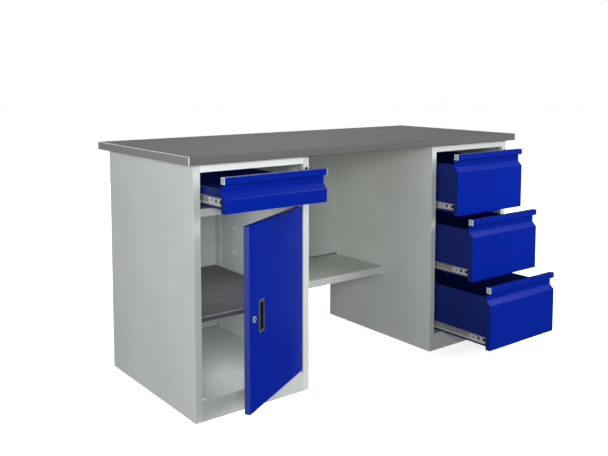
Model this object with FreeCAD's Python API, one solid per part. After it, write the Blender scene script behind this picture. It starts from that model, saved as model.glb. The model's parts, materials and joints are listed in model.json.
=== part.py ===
import FreeCAD, Part
import math
import os

# Workshop bench: a steel-clad worktop on two sheet-steel pedestals, with a screen and a low shelf
# between them. The left pedestal holds one drawer over a hinged cupboard, the right one three
# drawers. Drawers run on ball slides and stand open, each at its own distance, and so does the door.
#
# Millimetres. X runs along the bench from its middle, Y from the pedestals' front plane towards the
# back, and Z up from the floor. Every piece is moved along Y at the end, so that the origin lies on
# the floor under the middle of the bench with its drawers as they stand.

# Whole bench
BENCH_LENGTH = 1600.0
BENCH_HEIGHT = 870.0
WORKTOP_DEPTH = 700.0
WORKTOP_THICKNESS = 28.0
WORKTOP_SIDE_OVERHANG = 30.0
WORKTOP_FRONT_OVERHANG = 27.0
WORKTOP_REAR_OVERHANG = 36.0

# Worktop cladding, end plates and screws
CLADDING_SHEET = 1.5
CLADDING_FOLD_RADIUS = 3.0
CLADDING_RETURN = 20.0
END_PLATE_THICKNESS = 3.0
END_PLATE_EDGE_RADIUS = 0.8
WORKTOP_SCREW_DIAMETER = 5.0
WORKTOP_SCREW_LENGTH = 22.0
WORKTOP_SCREW_HEAD_DIAMETER = 12.0
WORKTOP_SCREW_HEAD_HEIGHT = 3.0
WORKTOP_SCREW_SIDE_INSET = 70.0
WORKTOP_SCREW_FRONT_INSET = 90.0

# Pedestal shells
SHEET = 1.2
PEDESTAL_WIDTH = 460.0
STILE_WIDTH = 25.0
STILE_RETURN = 20.0
TOP_RAIL_HEIGHT = 27.0
PLINTH_HEIGHT = 70.0
BASE_FLANGE = 25.0
BACK_FLANGE = 44.0
WELD_FLANGE = 20.0
FOLD_RADIUS = 1.0
POST_WIDTH = 40.0
POST_FOOT = 12.0
POST_SHEET = 1.5
FRONT_POST_INSET = 33.0
REAR_POST_INSET = 47.0

# Bolts that tie the pedestals, the screen and the low shelf together, their holes in the inner walls,
# and the spare holes at the same places in the outer walls
BOLT_DIAMETER = 6.0
BOLT_HEAD_DIAMETER = 10.5
BOLT_HEAD_HEIGHT = 3.0
BOLT_TAIL = 4.0
NUT_ACROSS_FLATS = 10.0
NUT_HEIGHT = 5.0
BOLT_HOLE_DIAMETER = 6.4
SPARE_HOLE_DIAMETER = 7.0
SCREEN_BOLT_INSET = 15.0
SCREEN_BOLT_LOW_RISE = 105.5
SCREEN_BOLT_HIGH_DROP = 115.0
LOW_SHELF_BOLT_RISE = 8.5
LOW_SHELF_REAR_BOLT_SETBACK = 10.0
LOW_SHELF_FRONT_BOLT_SETBACK = 12.0

# Screen and low shelf between the pedestals
SCREEN_SETBACK = 40.0
SCREEN_BOTTOM_GAP = 3.0
SCREEN_EDGE_FLANGE = 20.0
SCREEN_SIDE_FLANGE = 36.0
SPAN_FIT_GAP = 0.3
LOW_SHELF_TOP = 298.5
LOW_SHELF_REAR_INSET = 42.0
LOW_SHELF_DEPTH = 318.0
LOW_SHELF_LIP = 29.0
LOW_SHELF_LIP_RETURN = 12.0
LOW_SHELF_END_FLANGE_HEIGHT = 20.0
LOW_SHELF_END_FLANGE_SETBACK = 56.0

# Cupboard shelf and the welded studs that carry it
CUPBOARD_SHELF_RISE = 260.5
CUPBOARD_SHELF_LIP = 18.5
CUPBOARD_SHELF_LIP_RETURN = 8.0
CUPBOARD_SHELF_SETBACK = 47.0
CUPBOARD_SHELF_SIDE_GAP = 1.0
CUPBOARD_SHELF_BACK_GAP = 2.0
STUD_DIAMETER = 8.0
STUD_LENGTH = 9.0
STUD_PITCH = 100.0
STUD_LEVELS = 3
STUD_REAR_INSET = 150.0
STUD_FRONT_INSET = 110.0

# Divider between the left drawer and the cupboard
DIVIDER_LIP = 25.0

# Drawer fronts: a box-shaped lip, a recessed neck, a bevel and a flat face, from one folded sheet
FRONT_SIDE_GAP = 5.0
FRONT_TOP_GAP = 2.5
FRONT_ROW_GAP = 3.0
FRONT_BOTTOM_GAP = 6.0
DIVIDER_GAP = 1.0
FRONT_THICKNESS = 20.0
FRONT_SHEET = 1.2
LEFT_FRONT_HEIGHT = 113.0
TALL_FRONT_ROWS = 3
LIP_HEIGHT = 22.0
NECK_HEIGHT = 27.0
BEVEL_HEIGHT = 20.0
LIP_CAP_THICKNESS = 2.0
LIP_CAP_PLUG = 8.0
LIP_CAP_WALL = 1.5
LIP_CAP_FIT = 0.1

# Drawer boxes
BOX_SHEET = 1.2
BOX_REAR_GAP = 55.8
BOX_SIDE_DROP = 42.0
BOX_FLOOR_RAISE = 10.5
BOX_HEM = 8.0
CATCH_STUD_DIAMETER = 6.0
CATCH_STUD_LENGTH = 11.0
CATCH_STUD_DROP = 10.0
CATCH_STUD_SETBACK = 40.0

# How far each drawer and the door stand open
LEFT_DRAWER_OPEN = 138.0
UPPER_DRAWER_OPEN = 109.0
MIDDLE_DRAWER_OPEN = 188.5
LOWER_DRAWER_OPEN = 281.0
DOOR_OPEN_DEGREES = 29.2

# Ball slides
SLIDE_SPACE = 13.0
SLIDE_SETBACK = 7.0
SLIDE_REAR_INSET = 53.0
SLIDE_CENTRE_HEIGHT = 34.0
SLIDE_STEEL = 1.2
SLIDE_CHANNEL_DEPTH = 10.0
CABINET_MEMBER_HEIGHT = 35.0
DRAWER_MEMBER_HEIGHT = 26.0
RACEWAY_LIP = 2.2
MEMBER_HOLE_DIAMETER = 6.0
MEMBER_HOLE_INSET = 26.0
MEMBER_SMALL_HOLE_DIAMETER = 3.5
MEMBER_SMALL_HOLE_INSET = 49.0
MEMBER_NOTCH_DEPTH = 5.0
MEMBER_NOTCH_HEIGHT = 8.0
BALL_CLEARANCE = 0.05
BALLS_PER_ROW = 6
CAGE_LENGTH = 110.0
CAGE_SHEET = 0.6
CAGE_WEB_GAP = 0.3
CAGE_EDGE_GAP = 0.6
CAGE_HOLE_CLEARANCE = 0.1

# Cupboard door
DOOR_SIDE_GAP = 5.0
DOOR_BOTTOM_GAP = 5.0
DOOR_TOP_GAP = 8.5
DOOR_THICKNESS = 20.0
DOOR_SHEET = 1.2
DOOR_INNER_FLANGE = 12.0
HINGE_EDGE_INSET = 6.5
HINGE_FACE_INSET = 8.5
HINGE_PIN_DIAMETER = 5.0
HINGE_PIN_PROJECTION = 12.0
HINGE_PIN_HEAD_DIAMETER = 10.0
HINGE_PIN_HEAD_HEIGHT = 3.0
BUSH_CLEARANCE = 0.05
BUSH_FLANGE_DIAMETER = 12.0
BUSH_SHANK_DIAMETER = 8.0
BUSH_SHANK_LENGTH = 9.0
BUSH_RUNNING_GAP = 0.3
TOP_BUSH_FLANGE_HEIGHT = 5.0

# Recessed door handle
HANDLE_EDGE_INSET = 60.0
HANDLE_RISE = 240.0
HANDLE_WIDTH = 40.0
HANDLE_LENGTH = 106.0
HANDLE_RIM = 6.0
HANDLE_RIM_PROUD = 1.5
HANDLE_POCKET_DEPTH = 15.0
HANDLE_WALL = 1.5
HANDLE_CORNER_RADIUS = 5.0
HANDLE_POCKET_RADIUS = 3.0
HANDLE_FIT = 0.3

# Door lock
LOCK_EDGE_INSET = 29.0
LOCK_RISE = 295.0
LOCK_RIM_DIAMETER = 21.0
LOCK_RIM_PROUD = 3.0
LOCK_BODY_DIAMETER = 17.0
LOCK_PLUG_DIAMETER = 12.0
LOCK_PLUG_CLEARANCE = 0.05
LOCK_CAM_LENGTH = 45.0
LOCK_CAM_WIDTH = 14.0
LOCK_CAM_THICKNESS = 2.0
LOCK_CAM_GAP = 1.5
KEYWAY_LENGTH = 7.0
KEYWAY_WIDTH = 1.6
KEYWAY_DEPTH = 3.0

# Drawer locks in the right-hand stiles, and the bars that they move
STILE_LOCK_EDGE_INSET = 11.4
STILE_LOCK_DROP = 45.0
STILE_LOCK_DIAMETER = 12.0
STILE_LOCK_PROUD = 1.0
STILE_LOCK_LENGTH = 20.0
STILE_LOCK_PLUG_DIAMETER = 9.0
STILE_LOCK_NUT_ACROSS_FLATS = 16.0
STILE_LOCK_NUT_HEIGHT = 5.0
CRANK_GAP = 2.0
CRANK_RADIUS = 6.0
CRANK_PIN_DIAMETER = 3.0
CRANK_DISC_DIAMETER = 16.0
CRANK_DISC_THICKNESS = 2.5
CRANK_SLOT_CLEARANCE = 0.35
BAR_GAP = 2.0
BAR_THICKNESS = 2.5
BAR_WIDTH = 19.0
BAR_WALL_GAP = 2.8
BAR_HEAD = 20.0
BAR_TAIL = 20.0
FINGER_REACH = 10.0
FINGER_HEIGHT = 14.0
FINGER_STUD_GAP = 1.5
GUIDE_WIDTH = 10.0
GUIDE_HEIGHT = 16.0
GUIDE_CLEARANCE = 0.3
GUIDE_BACK = 3.0
GUIDE_OVERLAP = 8.0
LEFT_GUIDE_DROP = 44.0
RIGHT_GUIDE_DROP = 269.0
RIVET_EDGE_INSET = 7.0
RIVET_DIAMETER = 4.0
RIVET_HEAD_DIAMETER = 7.0
RIVET_HEAD_HEIGHT = 1.2

# How far a cutting tool runs past what it cuts, and how near a place has to be, as a share of the sheet
CUT_OVERRUN = 5.0
NEAR_SHARE = 0.01

# Worked out from the sizes above: the bench and its pedestals
PEDESTAL_HEIGHT = BENCH_HEIGHT - WORKTOP_THICKNESS
PEDESTAL_DEPTH = WORKTOP_DEPTH - WORKTOP_FRONT_OVERHANG - WORKTOP_REAR_OVERHANG
LEFT_PEDESTAL_X = WORKTOP_SIDE_OVERHANG - BENCH_LENGTH / 2
RIGHT_PEDESTAL_X = BENCH_LENGTH / 2 - WORKTOP_SIDE_OVERHANG - PEDESTAL_WIDTH
WORKTOP_FRONT = -WORKTOP_FRONT_OVERHANG
WORKTOP_REAR = WORKTOP_FRONT + WORKTOP_DEPTH
BACK_FLANGE_FRONT = PEDESTAL_DEPTH - BACK_FLANGE
OPENING_TOP = PEDESTAL_HEIGHT - TOP_RAIL_HEIGHT
OPENING_WIDTH = PEDESTAL_WIDTH - 2 * STILE_WIDTH

# Worked out: what ties the pedestals together
SCREEN_BOLT_LOW_HEIGHT = LOW_SHELF_TOP + SCREEN_BOLT_LOW_RISE
SCREEN_BOLT_HIGH_HEIGHT = PEDESTAL_HEIGHT - SCREEN_BOLT_HIGH_DROP
LOW_SHELF_BOLT_HEIGHT = LOW_SHELF_TOP + LOW_SHELF_BOLT_RISE
LOW_SHELF_END_FLANGE_LENGTH = LOW_SHELF_DEPTH - LOW_SHELF_END_FLANGE_SETBACK
LOW_SHELF_REAR_BOLT_INSET = LOW_SHELF_REAR_INSET + LOW_SHELF_REAR_BOLT_SETBACK
LOW_SHELF_FRONT_BOLT_INSET = LOW_SHELF_REAR_INSET + LOW_SHELF_END_FLANGE_LENGTH - LOW_SHELF_FRONT_BOLT_SETBACK

# Worked out: drawers, slides and the posts that carry them
TALL_FRONT_STACK = OPENING_TOP - FRONT_TOP_GAP - FRONT_BOTTOM_GAP - PLINTH_HEIGHT
TALL_FRONT_HEIGHT = (TALL_FRONT_STACK - (TALL_FRONT_ROWS - 1) * FRONT_ROW_GAP) / TALL_FRONT_ROWS
FRONT_WIDTH = OPENING_WIDTH - 2 * FRONT_SIDE_GAP
BOX_WIDTH = OPENING_WIDTH - 2 * SLIDE_SPACE
BOX_LENGTH = PEDESTAL_DEPTH - SHEET - FRONT_THICKNESS - BOX_REAR_GAP
SLIDE_LENGTH = BOX_LENGTH - SLIDE_SETBACK - SLIDE_REAR_INSET
SLIDE_FRONT = FRONT_THICKNESS + SLIDE_SETBACK
SLIDE_BACK = SLIDE_FRONT + SLIDE_LENGTH
FRONT_POST_SETBACK = SLIDE_FRONT + FRONT_POST_INSET
REAR_POST_SETBACK = SLIDE_BACK - REAR_POST_INSET - POST_WIDTH
UPPER_FRONT_BOTTOM = OPENING_TOP - FRONT_TOP_GAP - TALL_FRONT_HEIGHT
MIDDLE_FRONT_BOTTOM = UPPER_FRONT_BOTTOM - FRONT_ROW_GAP - TALL_FRONT_HEIGHT
LOWER_FRONT_BOTTOM = MIDDLE_FRONT_BOTTOM - FRONT_ROW_GAP - TALL_FRONT_HEIGHT
LEFT_FRONT_BOTTOM = OPENING_TOP - FRONT_TOP_GAP - LEFT_FRONT_HEIGHT
BALL_SPACE = (CABINET_MEMBER_HEIGHT - DRAWER_MEMBER_HEIGHT) / 2 - SLIDE_STEEL
BALL_RADIUS = BALL_SPACE / 2 - BALL_CLEARANCE
BALL_HEIGHT = DRAWER_MEMBER_HEIGHT / 2 + BALL_SPACE / 2

# Worked out: cupboard and door
DIVIDER_TOP = LEFT_FRONT_BOTTOM - DIVIDER_GAP
CUPBOARD_SHELF_TOP = PLINTH_HEIGHT + CUPBOARD_SHELF_RISE
DOOR_BOTTOM = PLINTH_HEIGHT + DOOR_BOTTOM_GAP
DOOR_TOP = DIVIDER_TOP - DIVIDER_LIP - DOOR_TOP_GAP
DOOR_LEFT = STILE_WIDTH + DOOR_SIDE_GAP
DOOR_RIGHT = PEDESTAL_WIDTH - STILE_WIDTH - DOOR_SIDE_GAP
HINGE_X = DOOR_RIGHT - HINGE_EDGE_INSET
HANDLE_BOTTOM_HEIGHT = DOOR_BOTTOM + HANDLE_RISE
LOCK_HEIGHT = DOOR_BOTTOM + LOCK_RISE

# Worked out: drawer locks and their bars
STILE_LOCK_X = PEDESTAL_WIDTH - STILE_LOCK_EDGE_INSET
STILE_LOCK_HEIGHT = PEDESTAL_HEIGHT - STILE_LOCK_DROP
LEFT_GUIDE_HEIGHT = STILE_LOCK_HEIGHT - LEFT_GUIDE_DROP
RIGHT_GUIDE_HEIGHT = STILE_LOCK_HEIGHT - RIGHT_GUIDE_DROP
CRANK_FRONT = STILE_LOCK_LENGTH + CRANK_GAP
BAR_FRONT = CRANK_FRONT + CRANK_DISC_THICKNESS + BAR_GAP
BAR_RIGHT = PEDESTAL_WIDTH - SHEET - BAR_WALL_GAP
BAR_LEFT = BAR_RIGHT - BAR_WIDTH

# Worked out: the origin
FRONT_MOST = -max(LEFT_DRAWER_OPEN, UPPER_DRAWER_OPEN, MIDDLE_DRAWER_OPEN, LOWER_DRAWER_OPEN)
ORIGIN_Y = (FRONT_MOST + WORKTOP_REAR) / 2

X_AXIS = FreeCAD.Vector(1, 0, 0)
Y_AXIS = FreeCAD.Vector(0, 1, 0)
Z_AXIS = FreeCAD.Vector(0, 0, 1)


# Small helpers

def block(x_span, y_span, z_span):
    """A box between two values on each axis."""
    corner = FreeCAD.Vector(x_span[0], y_span[0], z_span[0])
    return Part.makeBox(x_span[1] - x_span[0], y_span[1] - y_span[0], z_span[1] - z_span[0], corner)


def rod(radius, start, end):
    """A round bar between two points."""
    direction = end - start
    return Part.makeCylinder(radius, direction.Length, start, direction)


def rod_along_x(radius, x_span, y, z):
    """A round bar along X."""
    return rod(radius, FreeCAD.Vector(x_span[0], y, z), FreeCAD.Vector(x_span[1], y, z))


def rod_along_y(radius, x, y_span, z):
    """A round bar along Y."""
    return rod(radius, FreeCAD.Vector(x, y_span[0], z), FreeCAD.Vector(x, y_span[1], z))


def rod_along_z(radius, x, y, z_span):
    """A round bar along Z."""
    return rod(radius, FreeCAD.Vector(x, y, z_span[0]), FreeCAD.Vector(x, y, z_span[1]))


def bar_along_x(outline, x_span):
    """A bar along X whose section is an outline of (y, z) points."""
    points = [FreeCAD.Vector(x_span[0], y, z) for y, z in outline]
    face = Part.Face(Part.makePolygon(points + points[:1]))
    return face.extrude(X_AXIS * (x_span[1] - x_span[0]))


def hexagon_along(axis_name, across_flats, centre, length):
    """A hexagonal prism that starts at a point and runs along X or Y."""
    sides = 6
    corner_radius = across_flats / 2 / math.cos(math.pi / sides)
    points = []
    for side in range(sides):
        angle = math.tau * side / sides
        across = corner_radius * math.cos(angle)
        up = corner_radius * math.sin(angle)
        step = FreeCAD.Vector(0, across, up) if axis_name == "x" else FreeCAD.Vector(across, 0, up)
        points.append(centre + step)
    face = Part.Face(Part.makePolygon(points + points[:1]))
    return face.extrude((X_AXIS if axis_name == "x" else Y_AXIS) * length)


def joined(shapes):
    """One solid from pieces that touch or overlap."""
    return shapes[0].fuse(shapes[1:]).removeSplitter()


def grouped(shapes):
    """Separate solids kept in one node."""
    return Part.makeCompound(shapes)


def rounded(shape, radius, wanted):
    """Rounds the edges whose two end points both pass a test."""
    edges = [edge for edge in shape.Edges if edge.Length > 2 * radius
             and all(wanted(vertex.Point) for vertex in edge.Vertexes)]
    return shape.makeFillet(radius, edges) if edges else shape


def near(value, target):
    """Whether a place is the one meant, within a small share of the sheet's thickness."""
    return abs(value - target) < SHEET * NEAR_SHARE


def mirrored_at(shape, x):
    """A mirror image across the plane at one X."""
    return shape.mirror(FreeCAD.Vector(x, 0, 0), X_AXIS)


def moved(shape, x=0.0, y=0.0, z=0.0):
    """A copy moved along the axes."""
    copy = shape.copy()
    copy.translate(FreeCAD.Vector(x, y, z))
    return copy


def lying_along_y(outline_plate, corner_radius, axis_x, axis_z):
    """Rounds the four corners, seen from the front, of a plate centred on an axis along Y."""
    def corner(edge):
        first = edge.Vertexes[0].Point
        last = edge.Vertexes[-1].Point
        return near(first.x, last.x) and near(first.z, last.z) and not near(first.x, axis_x) \
            and not near(first.z, axis_z)
    return outline_plate.makeFillet(corner_radius, [edge for edge in outline_plate.Edges if corner(edge)])


# Worktop

def worktop_span(inset):
    """The worktop's extent on each axis, drawn in by an inset at front, back, top and bottom."""
    half = BENCH_LENGTH / 2 - END_PLATE_THICKNESS
    return ((-half, half), (WORKTOP_FRONT + inset, WORKTOP_REAR - inset),
            (PEDESTAL_HEIGHT + inset, BENCH_HEIGHT - inset))


def worktop_body(inset):
    """The worktop between its end plates, with its long edges rounded."""
    x_span, y_span, z_span = worktop_span(inset)

    def on_long_edge(point):
        return (near(point.y, y_span[0]) or near(point.y, y_span[1])) \
            and (near(point.z, z_span[0]) or near(point.z, z_span[1]))
    solid = block(x_span, y_span, z_span)
    long_edges = [edge for edge in solid.Edges if near(edge.Length, x_span[1] - x_span[0])
                  and all(on_long_edge(vertex.Point) for vertex in edge.Vertexes)]
    return solid.makeFillet(CLADDING_FOLD_RADIUS - inset, long_edges)


def worktop_underside():
    """The strip between the cladding's two returns, where the board lies open underneath."""
    x_span, y_span, z_span = worktop_span(0.0)
    return block(x_span, (y_span[0] + CLADDING_RETURN, y_span[1] - CLADDING_RETURN),
                 (z_span[0], z_span[0] + CLADDING_SHEET))


def worktop_screw_places():
    """The X and Y of each screw that goes up through a pedestal's top."""
    places = []
    for pedestal_x in (LEFT_PEDESTAL_X, RIGHT_PEDESTAL_X):
        for across in (WORKTOP_SCREW_SIDE_INSET, PEDESTAL_WIDTH - WORKTOP_SCREW_SIDE_INSET):
            for back in (WORKTOP_SCREW_FRONT_INSET, PEDESTAL_DEPTH - WORKTOP_SCREW_FRONT_INSET):
                places.append((pedestal_x + across, back))
    return places


def worktop_core():
    """Board inside the cladding, with a pilot hole for each screw."""
    solid = joined([worktop_body(CLADDING_SHEET), worktop_underside()])
    top = PEDESTAL_HEIGHT - SHEET + WORKTOP_SCREW_LENGTH
    for x, y in worktop_screw_places():
        radius = WORKTOP_SCREW_DIAMETER / 2 + BUSH_CLEARANCE
        solid = solid.cut(rod_along_z(radius, x, y, (PEDESTAL_HEIGHT - CUT_OVERRUN, top)))
    return solid


def worktop_cladding():
    """Steel sheet over the top, down both long edges and back under the board."""
    return worktop_body(0.0).cut(worktop_body(CLADDING_SHEET)).cut(worktop_underside())


def worktop_end_plates():
    """Steel plates that close the two ends of the worktop."""
    plates = []
    for side in (-1, 1):
        outer = side * BENCH_LENGTH / 2
        inner = outer - side * END_PLATE_THICKNESS
        plate = block((min(outer, inner), max(outer, inner)), (WORKTOP_FRONT, WORKTOP_REAR),
                      (PEDESTAL_HEIGHT, BENCH_HEIGHT))
        plates.append(rounded(plate, END_PLATE_EDGE_RADIUS, lambda point, x=outer: near(point.x, x)))
    return grouped(plates)


def worktop_screws():
    """Pan-head screws from under the pedestals' tops into the board."""
    underside = PEDESTAL_HEIGHT - SHEET
    screws = []
    for x, y in worktop_screw_places():
        shank = rod_along_z(WORKTOP_SCREW_DIAMETER / 2, x, y,
                            (underside, underside + WORKTOP_SCREW_LENGTH))
        head = rod_along_z(WORKTOP_SCREW_HEAD_DIAMETER / 2, x, y,
                           (underside - WORKTOP_SCREW_HEAD_HEIGHT, underside))
        screws.append(joined([shank, head]))
    return grouped(screws)


# Pedestal shells, built from X = 0 at a pedestal's left side

def tie_holes(shape, left_diameter, right_diameter):
    """Drills the tie-bolt holes of a pedestal's two sides through whatever stands there."""
    middle = PEDESTAL_WIDTH / 2
    places = ((SCREEN_BOLT_INSET, SCREEN_BOLT_LOW_HEIGHT), (SCREEN_BOLT_INSET, SCREEN_BOLT_HIGH_HEIGHT),
              (LOW_SHELF_REAR_BOLT_INSET, LOW_SHELF_BOLT_HEIGHT),
              (LOW_SHELF_FRONT_BOLT_INSET, LOW_SHELF_BOLT_HEIGHT))
    for inset, height in places:
        y = PEDESTAL_DEPTH - inset
        shape = shape.cut(rod_along_x(left_diameter / 2, (-CUT_OVERRUN, middle), y, height))
        shape = shape.cut(rod_along_x(right_diameter / 2, (middle, PEDESTAL_WIDTH + CUT_OVERRUN), y, height))
    return shape


def side_wall(on_right, hole_diameter):
    """Side sheet with its front stile, the stile's return and a flange to stand on."""
    height = (0, PEDESTAL_HEIGHT)
    solid = joined([
        block((0, SHEET), (0, PEDESTAL_DEPTH), height),
        block((0, STILE_WIDTH), (0, SHEET), height),
        block((STILE_WIDTH - SHEET, STILE_WIDTH), (0, STILE_RETURN), height),
        block((0, BASE_FLANGE), (STILE_RETURN, BACK_FLANGE_FRONT), (0, SHEET)),
    ])
    solid = rounded(solid, FOLD_RADIUS, lambda point: near(point.x, 0) and near(point.y, 0))
    solid = tie_holes(solid, hole_diameter, hole_diameter)
    return mirrored_at(solid, PEDESTAL_WIDTH / 2) if on_right else solid


def back_tray(left_diameter, right_diameter):
    """Back sheet with forward flanges inside both side walls, drilled for each side's bolts."""
    height = (0, PEDESTAL_HEIGHT)
    depth = (BACK_FLANGE_FRONT, PEDESTAL_DEPTH - SHEET)
    solid = joined([
        block((SHEET, PEDESTAL_WIDTH - SHEET), (PEDESTAL_DEPTH - SHEET, PEDESTAL_DEPTH), height),
        block((SHEET, 2 * SHEET), depth, height),
        block((PEDESTAL_WIDTH - 2 * SHEET, PEDESTAL_WIDTH - SHEET), depth, height),
    ])
    return tie_holes(solid, left_diameter, right_diameter)


def pan(top, lip):
    """Sheet across a pedestal with a front lip between the stiles and flanges welded to the walls."""
    plate = (top - SHEET, top)
    opening = (STILE_WIDTH, PEDESTAL_WIDTH - STILE_WIDTH)
    between_walls = (STILE_RETURN, BACK_FLANGE_FRONT)
    weld = (top - WELD_FLANGE, top)
    return joined([
        block(opening, (0, STILE_RETURN), plate),
        block((SHEET, PEDESTAL_WIDTH - SHEET), between_walls, plate),
        block((2 * SHEET, PEDESTAL_WIDTH - 2 * SHEET), (BACK_FLANGE_FRONT, PEDESTAL_DEPTH - SHEET), plate),
        block(opening, (0, SHEET), (top - lip, top)),
        block(opening, (0, STILE_RETURN), (top - lip, top - lip + SHEET)),
        block((SHEET, 2 * SHEET), between_walls, weld),
        block((PEDESTAL_WIDTH - 2 * SHEET, PEDESTAL_WIDTH - SHEET), between_walls, weld),
    ])


def pivot_holes(solid, z_span):
    """Drills the bush holes for a door hung on either side."""
    for x in (HINGE_X, PEDESTAL_WIDTH - HINGE_X):
        solid = solid.cut(rod_along_z(BUSH_SHANK_DIAMETER / 2, x, HINGE_FACE_INSET, z_span))
    return solid


def top_pan(pedestal_x):
    """Pedestal top with the front rail and clearance holes for the worktop's screws."""
    solid = pan(PEDESTAL_HEIGHT, TOP_RAIL_HEIGHT)
    z_span = (PEDESTAL_HEIGHT - SHEET - CUT_OVERRUN, PEDESTAL_HEIGHT + CUT_OVERRUN)
    for x, y in worktop_screw_places():
        radius = WORKTOP_SCREW_DIAMETER / 2 + BUSH_CLEARANCE
        solid = solid.cut(rod_along_z(radius, x - pedestal_x, y, z_span))
    return solid


def floor_pan(with_pivots):
    """Pedestal floor folded down in front as the plinth."""
    solid = pan(PLINTH_HEIGHT, PLINTH_HEIGHT)
    if with_pivots:
        solid = pivot_holes(solid, (PLINTH_HEIGHT - SHEET - CUT_OVERRUN, PLINTH_HEIGHT + CUT_OVERRUN))
    return solid


def divider_pan():
    """Sheet under the left drawer, with bush holes in the return of its lip."""
    lip_bottom = DIVIDER_TOP - DIVIDER_LIP
    return pivot_holes(pan(DIVIDER_TOP, DIVIDER_LIP), (lip_bottom - CUT_OVERRUN, lip_bottom + CUT_OVERRUN))


def slide_posts(bottom):
    """Four hat-shaped posts on the side walls that carry the slides."""
    z_span = (bottom, OPENING_TOP)
    posts = []
    for front in (FRONT_POST_SETBACK, REAR_POST_SETBACK):
        back = front + POST_WIDTH
        reach = (SHEET, STILE_WIDTH)
        post = joined([
            block((STILE_WIDTH - POST_SHEET, STILE_WIDTH), (front, back), z_span),
            block(reach, (front, front + POST_SHEET), z_span),
            block(reach, (back - POST_SHEET, back), z_span),
            block((SHEET, SHEET + POST_SHEET), (front - POST_FOOT, front + POST_SHEET), z_span),
            block((SHEET, SHEET + POST_SHEET), (back - POST_SHEET, back + POST_FOOT), z_span),
        ])
        posts += [post, mirrored_at(post, PEDESTAL_WIDTH / 2)]
    return grouped(posts)


# Drawers, built round X = 0 with Y = 0 at the front face and Z = 0 at the front's bottom edge

def drawer_front(height):
    """Front folded from one sheet, open at the back, with its lip a tube for the end caps."""
    half = FRONT_WIDTH / 2
    deep = FRONT_THICKNESS
    lip_bottom = height - LIP_HEIGHT
    neck_bottom = lip_bottom - NECK_HEIGHT
    bevel_bottom = neck_bottom - BEVEL_HEIGHT
    slant = FRONT_SHEET * math.hypot(deep, BEVEL_HEIGHT) / deep
    full = (-half, half)
    between_caps = (-half + LIP_CAP_THICKNESS, half - LIP_CAP_THICKNESS)
    end_outline = [(0, 0), (0, bevel_bottom), (deep, neck_bottom), (deep, 0)]
    lip = block(between_caps, (0, deep), (lip_bottom, height)).cut(
        block(full, (FRONT_SHEET, deep - FRONT_SHEET), (lip_bottom + FRONT_SHEET, height - FRONT_SHEET)))
    lip = rounded(lip, FOLD_RADIUS, lambda point: near(point.y, 0))
    body = joined([
        block(full, (0, FRONT_SHEET), (0, bevel_bottom)),
        block(full, (0, deep), (0, FRONT_SHEET)),
        bar_along_x([(0, bevel_bottom - slant), (0, bevel_bottom), (deep, neck_bottom),
                     (deep, neck_bottom - slant)], full),
        bar_along_x(end_outline, (-half, -half + FRONT_SHEET)),
        bar_along_x(end_outline, (half - FRONT_SHEET, half)),
        block(full, (deep - FRONT_SHEET, deep), (neck_bottom - slant, lip_bottom)),
    ])

    def on_outer_fold(point):
        return near(point.y, 0) and point.z < bevel_bottom + FOLD_RADIUS
    body = rounded(body, FOLD_RADIUS, on_outer_fold)
    return joined([body, lip])


def lip_caps(height):
    """Plastic caps pushed into both ends of the lip."""
    half = FRONT_WIDTH / 2
    wall = FRONT_SHEET + LIP_CAP_FIT
    depth = (0, FRONT_THICKNESS)
    rise = (height - LIP_HEIGHT, height)
    plate = block((-half, -half + LIP_CAP_THICKNESS), depth, rise)
    plate = rounded(plate, FOLD_RADIUS, lambda point: near(point.x, -half))
    inner = -half + LIP_CAP_THICKNESS + LIP_CAP_PLUG
    plug = block((-half + LIP_CAP_THICKNESS, inner), (depth[0] + wall, depth[1] - wall),
                 (rise[0] + wall, rise[1] - wall))
    wall += LIP_CAP_WALL
    hollow = block((-half + LIP_CAP_THICKNESS, inner), (depth[0] + wall, depth[1] - wall),
                   (rise[0] + wall, rise[1] - wall))
    cap = joined([plate, plug.cut(hollow)])
    return grouped([cap, mirrored_at(cap, 0)])


def drawer_box(height):
    """Open steel box with hemmed edges, and the stud that the lock bar catches."""
    half = BOX_WIDTH / 2
    front = FRONT_THICKNESS
    back = front + BOX_LENGTH
    bottom = BOX_FLOOR_RAISE
    top = height - BOX_SIDE_DROP
    tub = block((-half, half), (front, back), (bottom, top)).cut(
        block((BOX_SHEET - half, half - BOX_SHEET), (front + BOX_SHEET, back - BOX_SHEET),
              (bottom + BOX_SHEET, top + CUT_OVERRUN)))
    hem = (top - BOX_HEM, top)
    doubled = 2 * BOX_SHEET
    stud_height = top - CATCH_STUD_DROP
    return joined([
        tub,
        block((-half, doubled - half), (front, back), hem),
        block((half - doubled, half), (front, back), hem),
        block((-half, half), (back - doubled, back), hem),
        rod_along_x(CATCH_STUD_DIAMETER / 2, (half - BOX_SHEET / 2, half + CATCH_STUD_LENGTH),
                    CATCH_STUD_SETBACK, stud_height),
    ])


def both_sides(shapes):
    """A left-hand set of pieces and its mirror image, in one node."""
    return grouped(list(shapes) + [mirrored_at(shape, 0) for shape in shapes])


def cabinet_members():
    """Outer channels of the slides, fixed to the posts."""
    outer = -OPENING_WIDTH / 2
    inner = outer + SLIDE_CHANNEL_DEPTH
    half = CABINET_MEMBER_HEIGHT / 2
    length = (SLIDE_FRONT, SLIDE_BACK)
    low = SLIDE_CENTRE_HEIGHT - half
    high = SLIDE_CENTRE_HEIGHT + half
    member = joined([
        block((outer, outer + SLIDE_STEEL), length, (low, high)),
        block((outer, inner), length, (high - SLIDE_STEEL, high)),
        block((outer, inner), length, (low, low + SLIDE_STEEL)),
        block((inner - SLIDE_STEEL, inner), length, (high - RACEWAY_LIP, high)),
        block((inner - SLIDE_STEEL, inner), length, (low, low + RACEWAY_LIP)),
    ])
    return both_sides([member])


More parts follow.
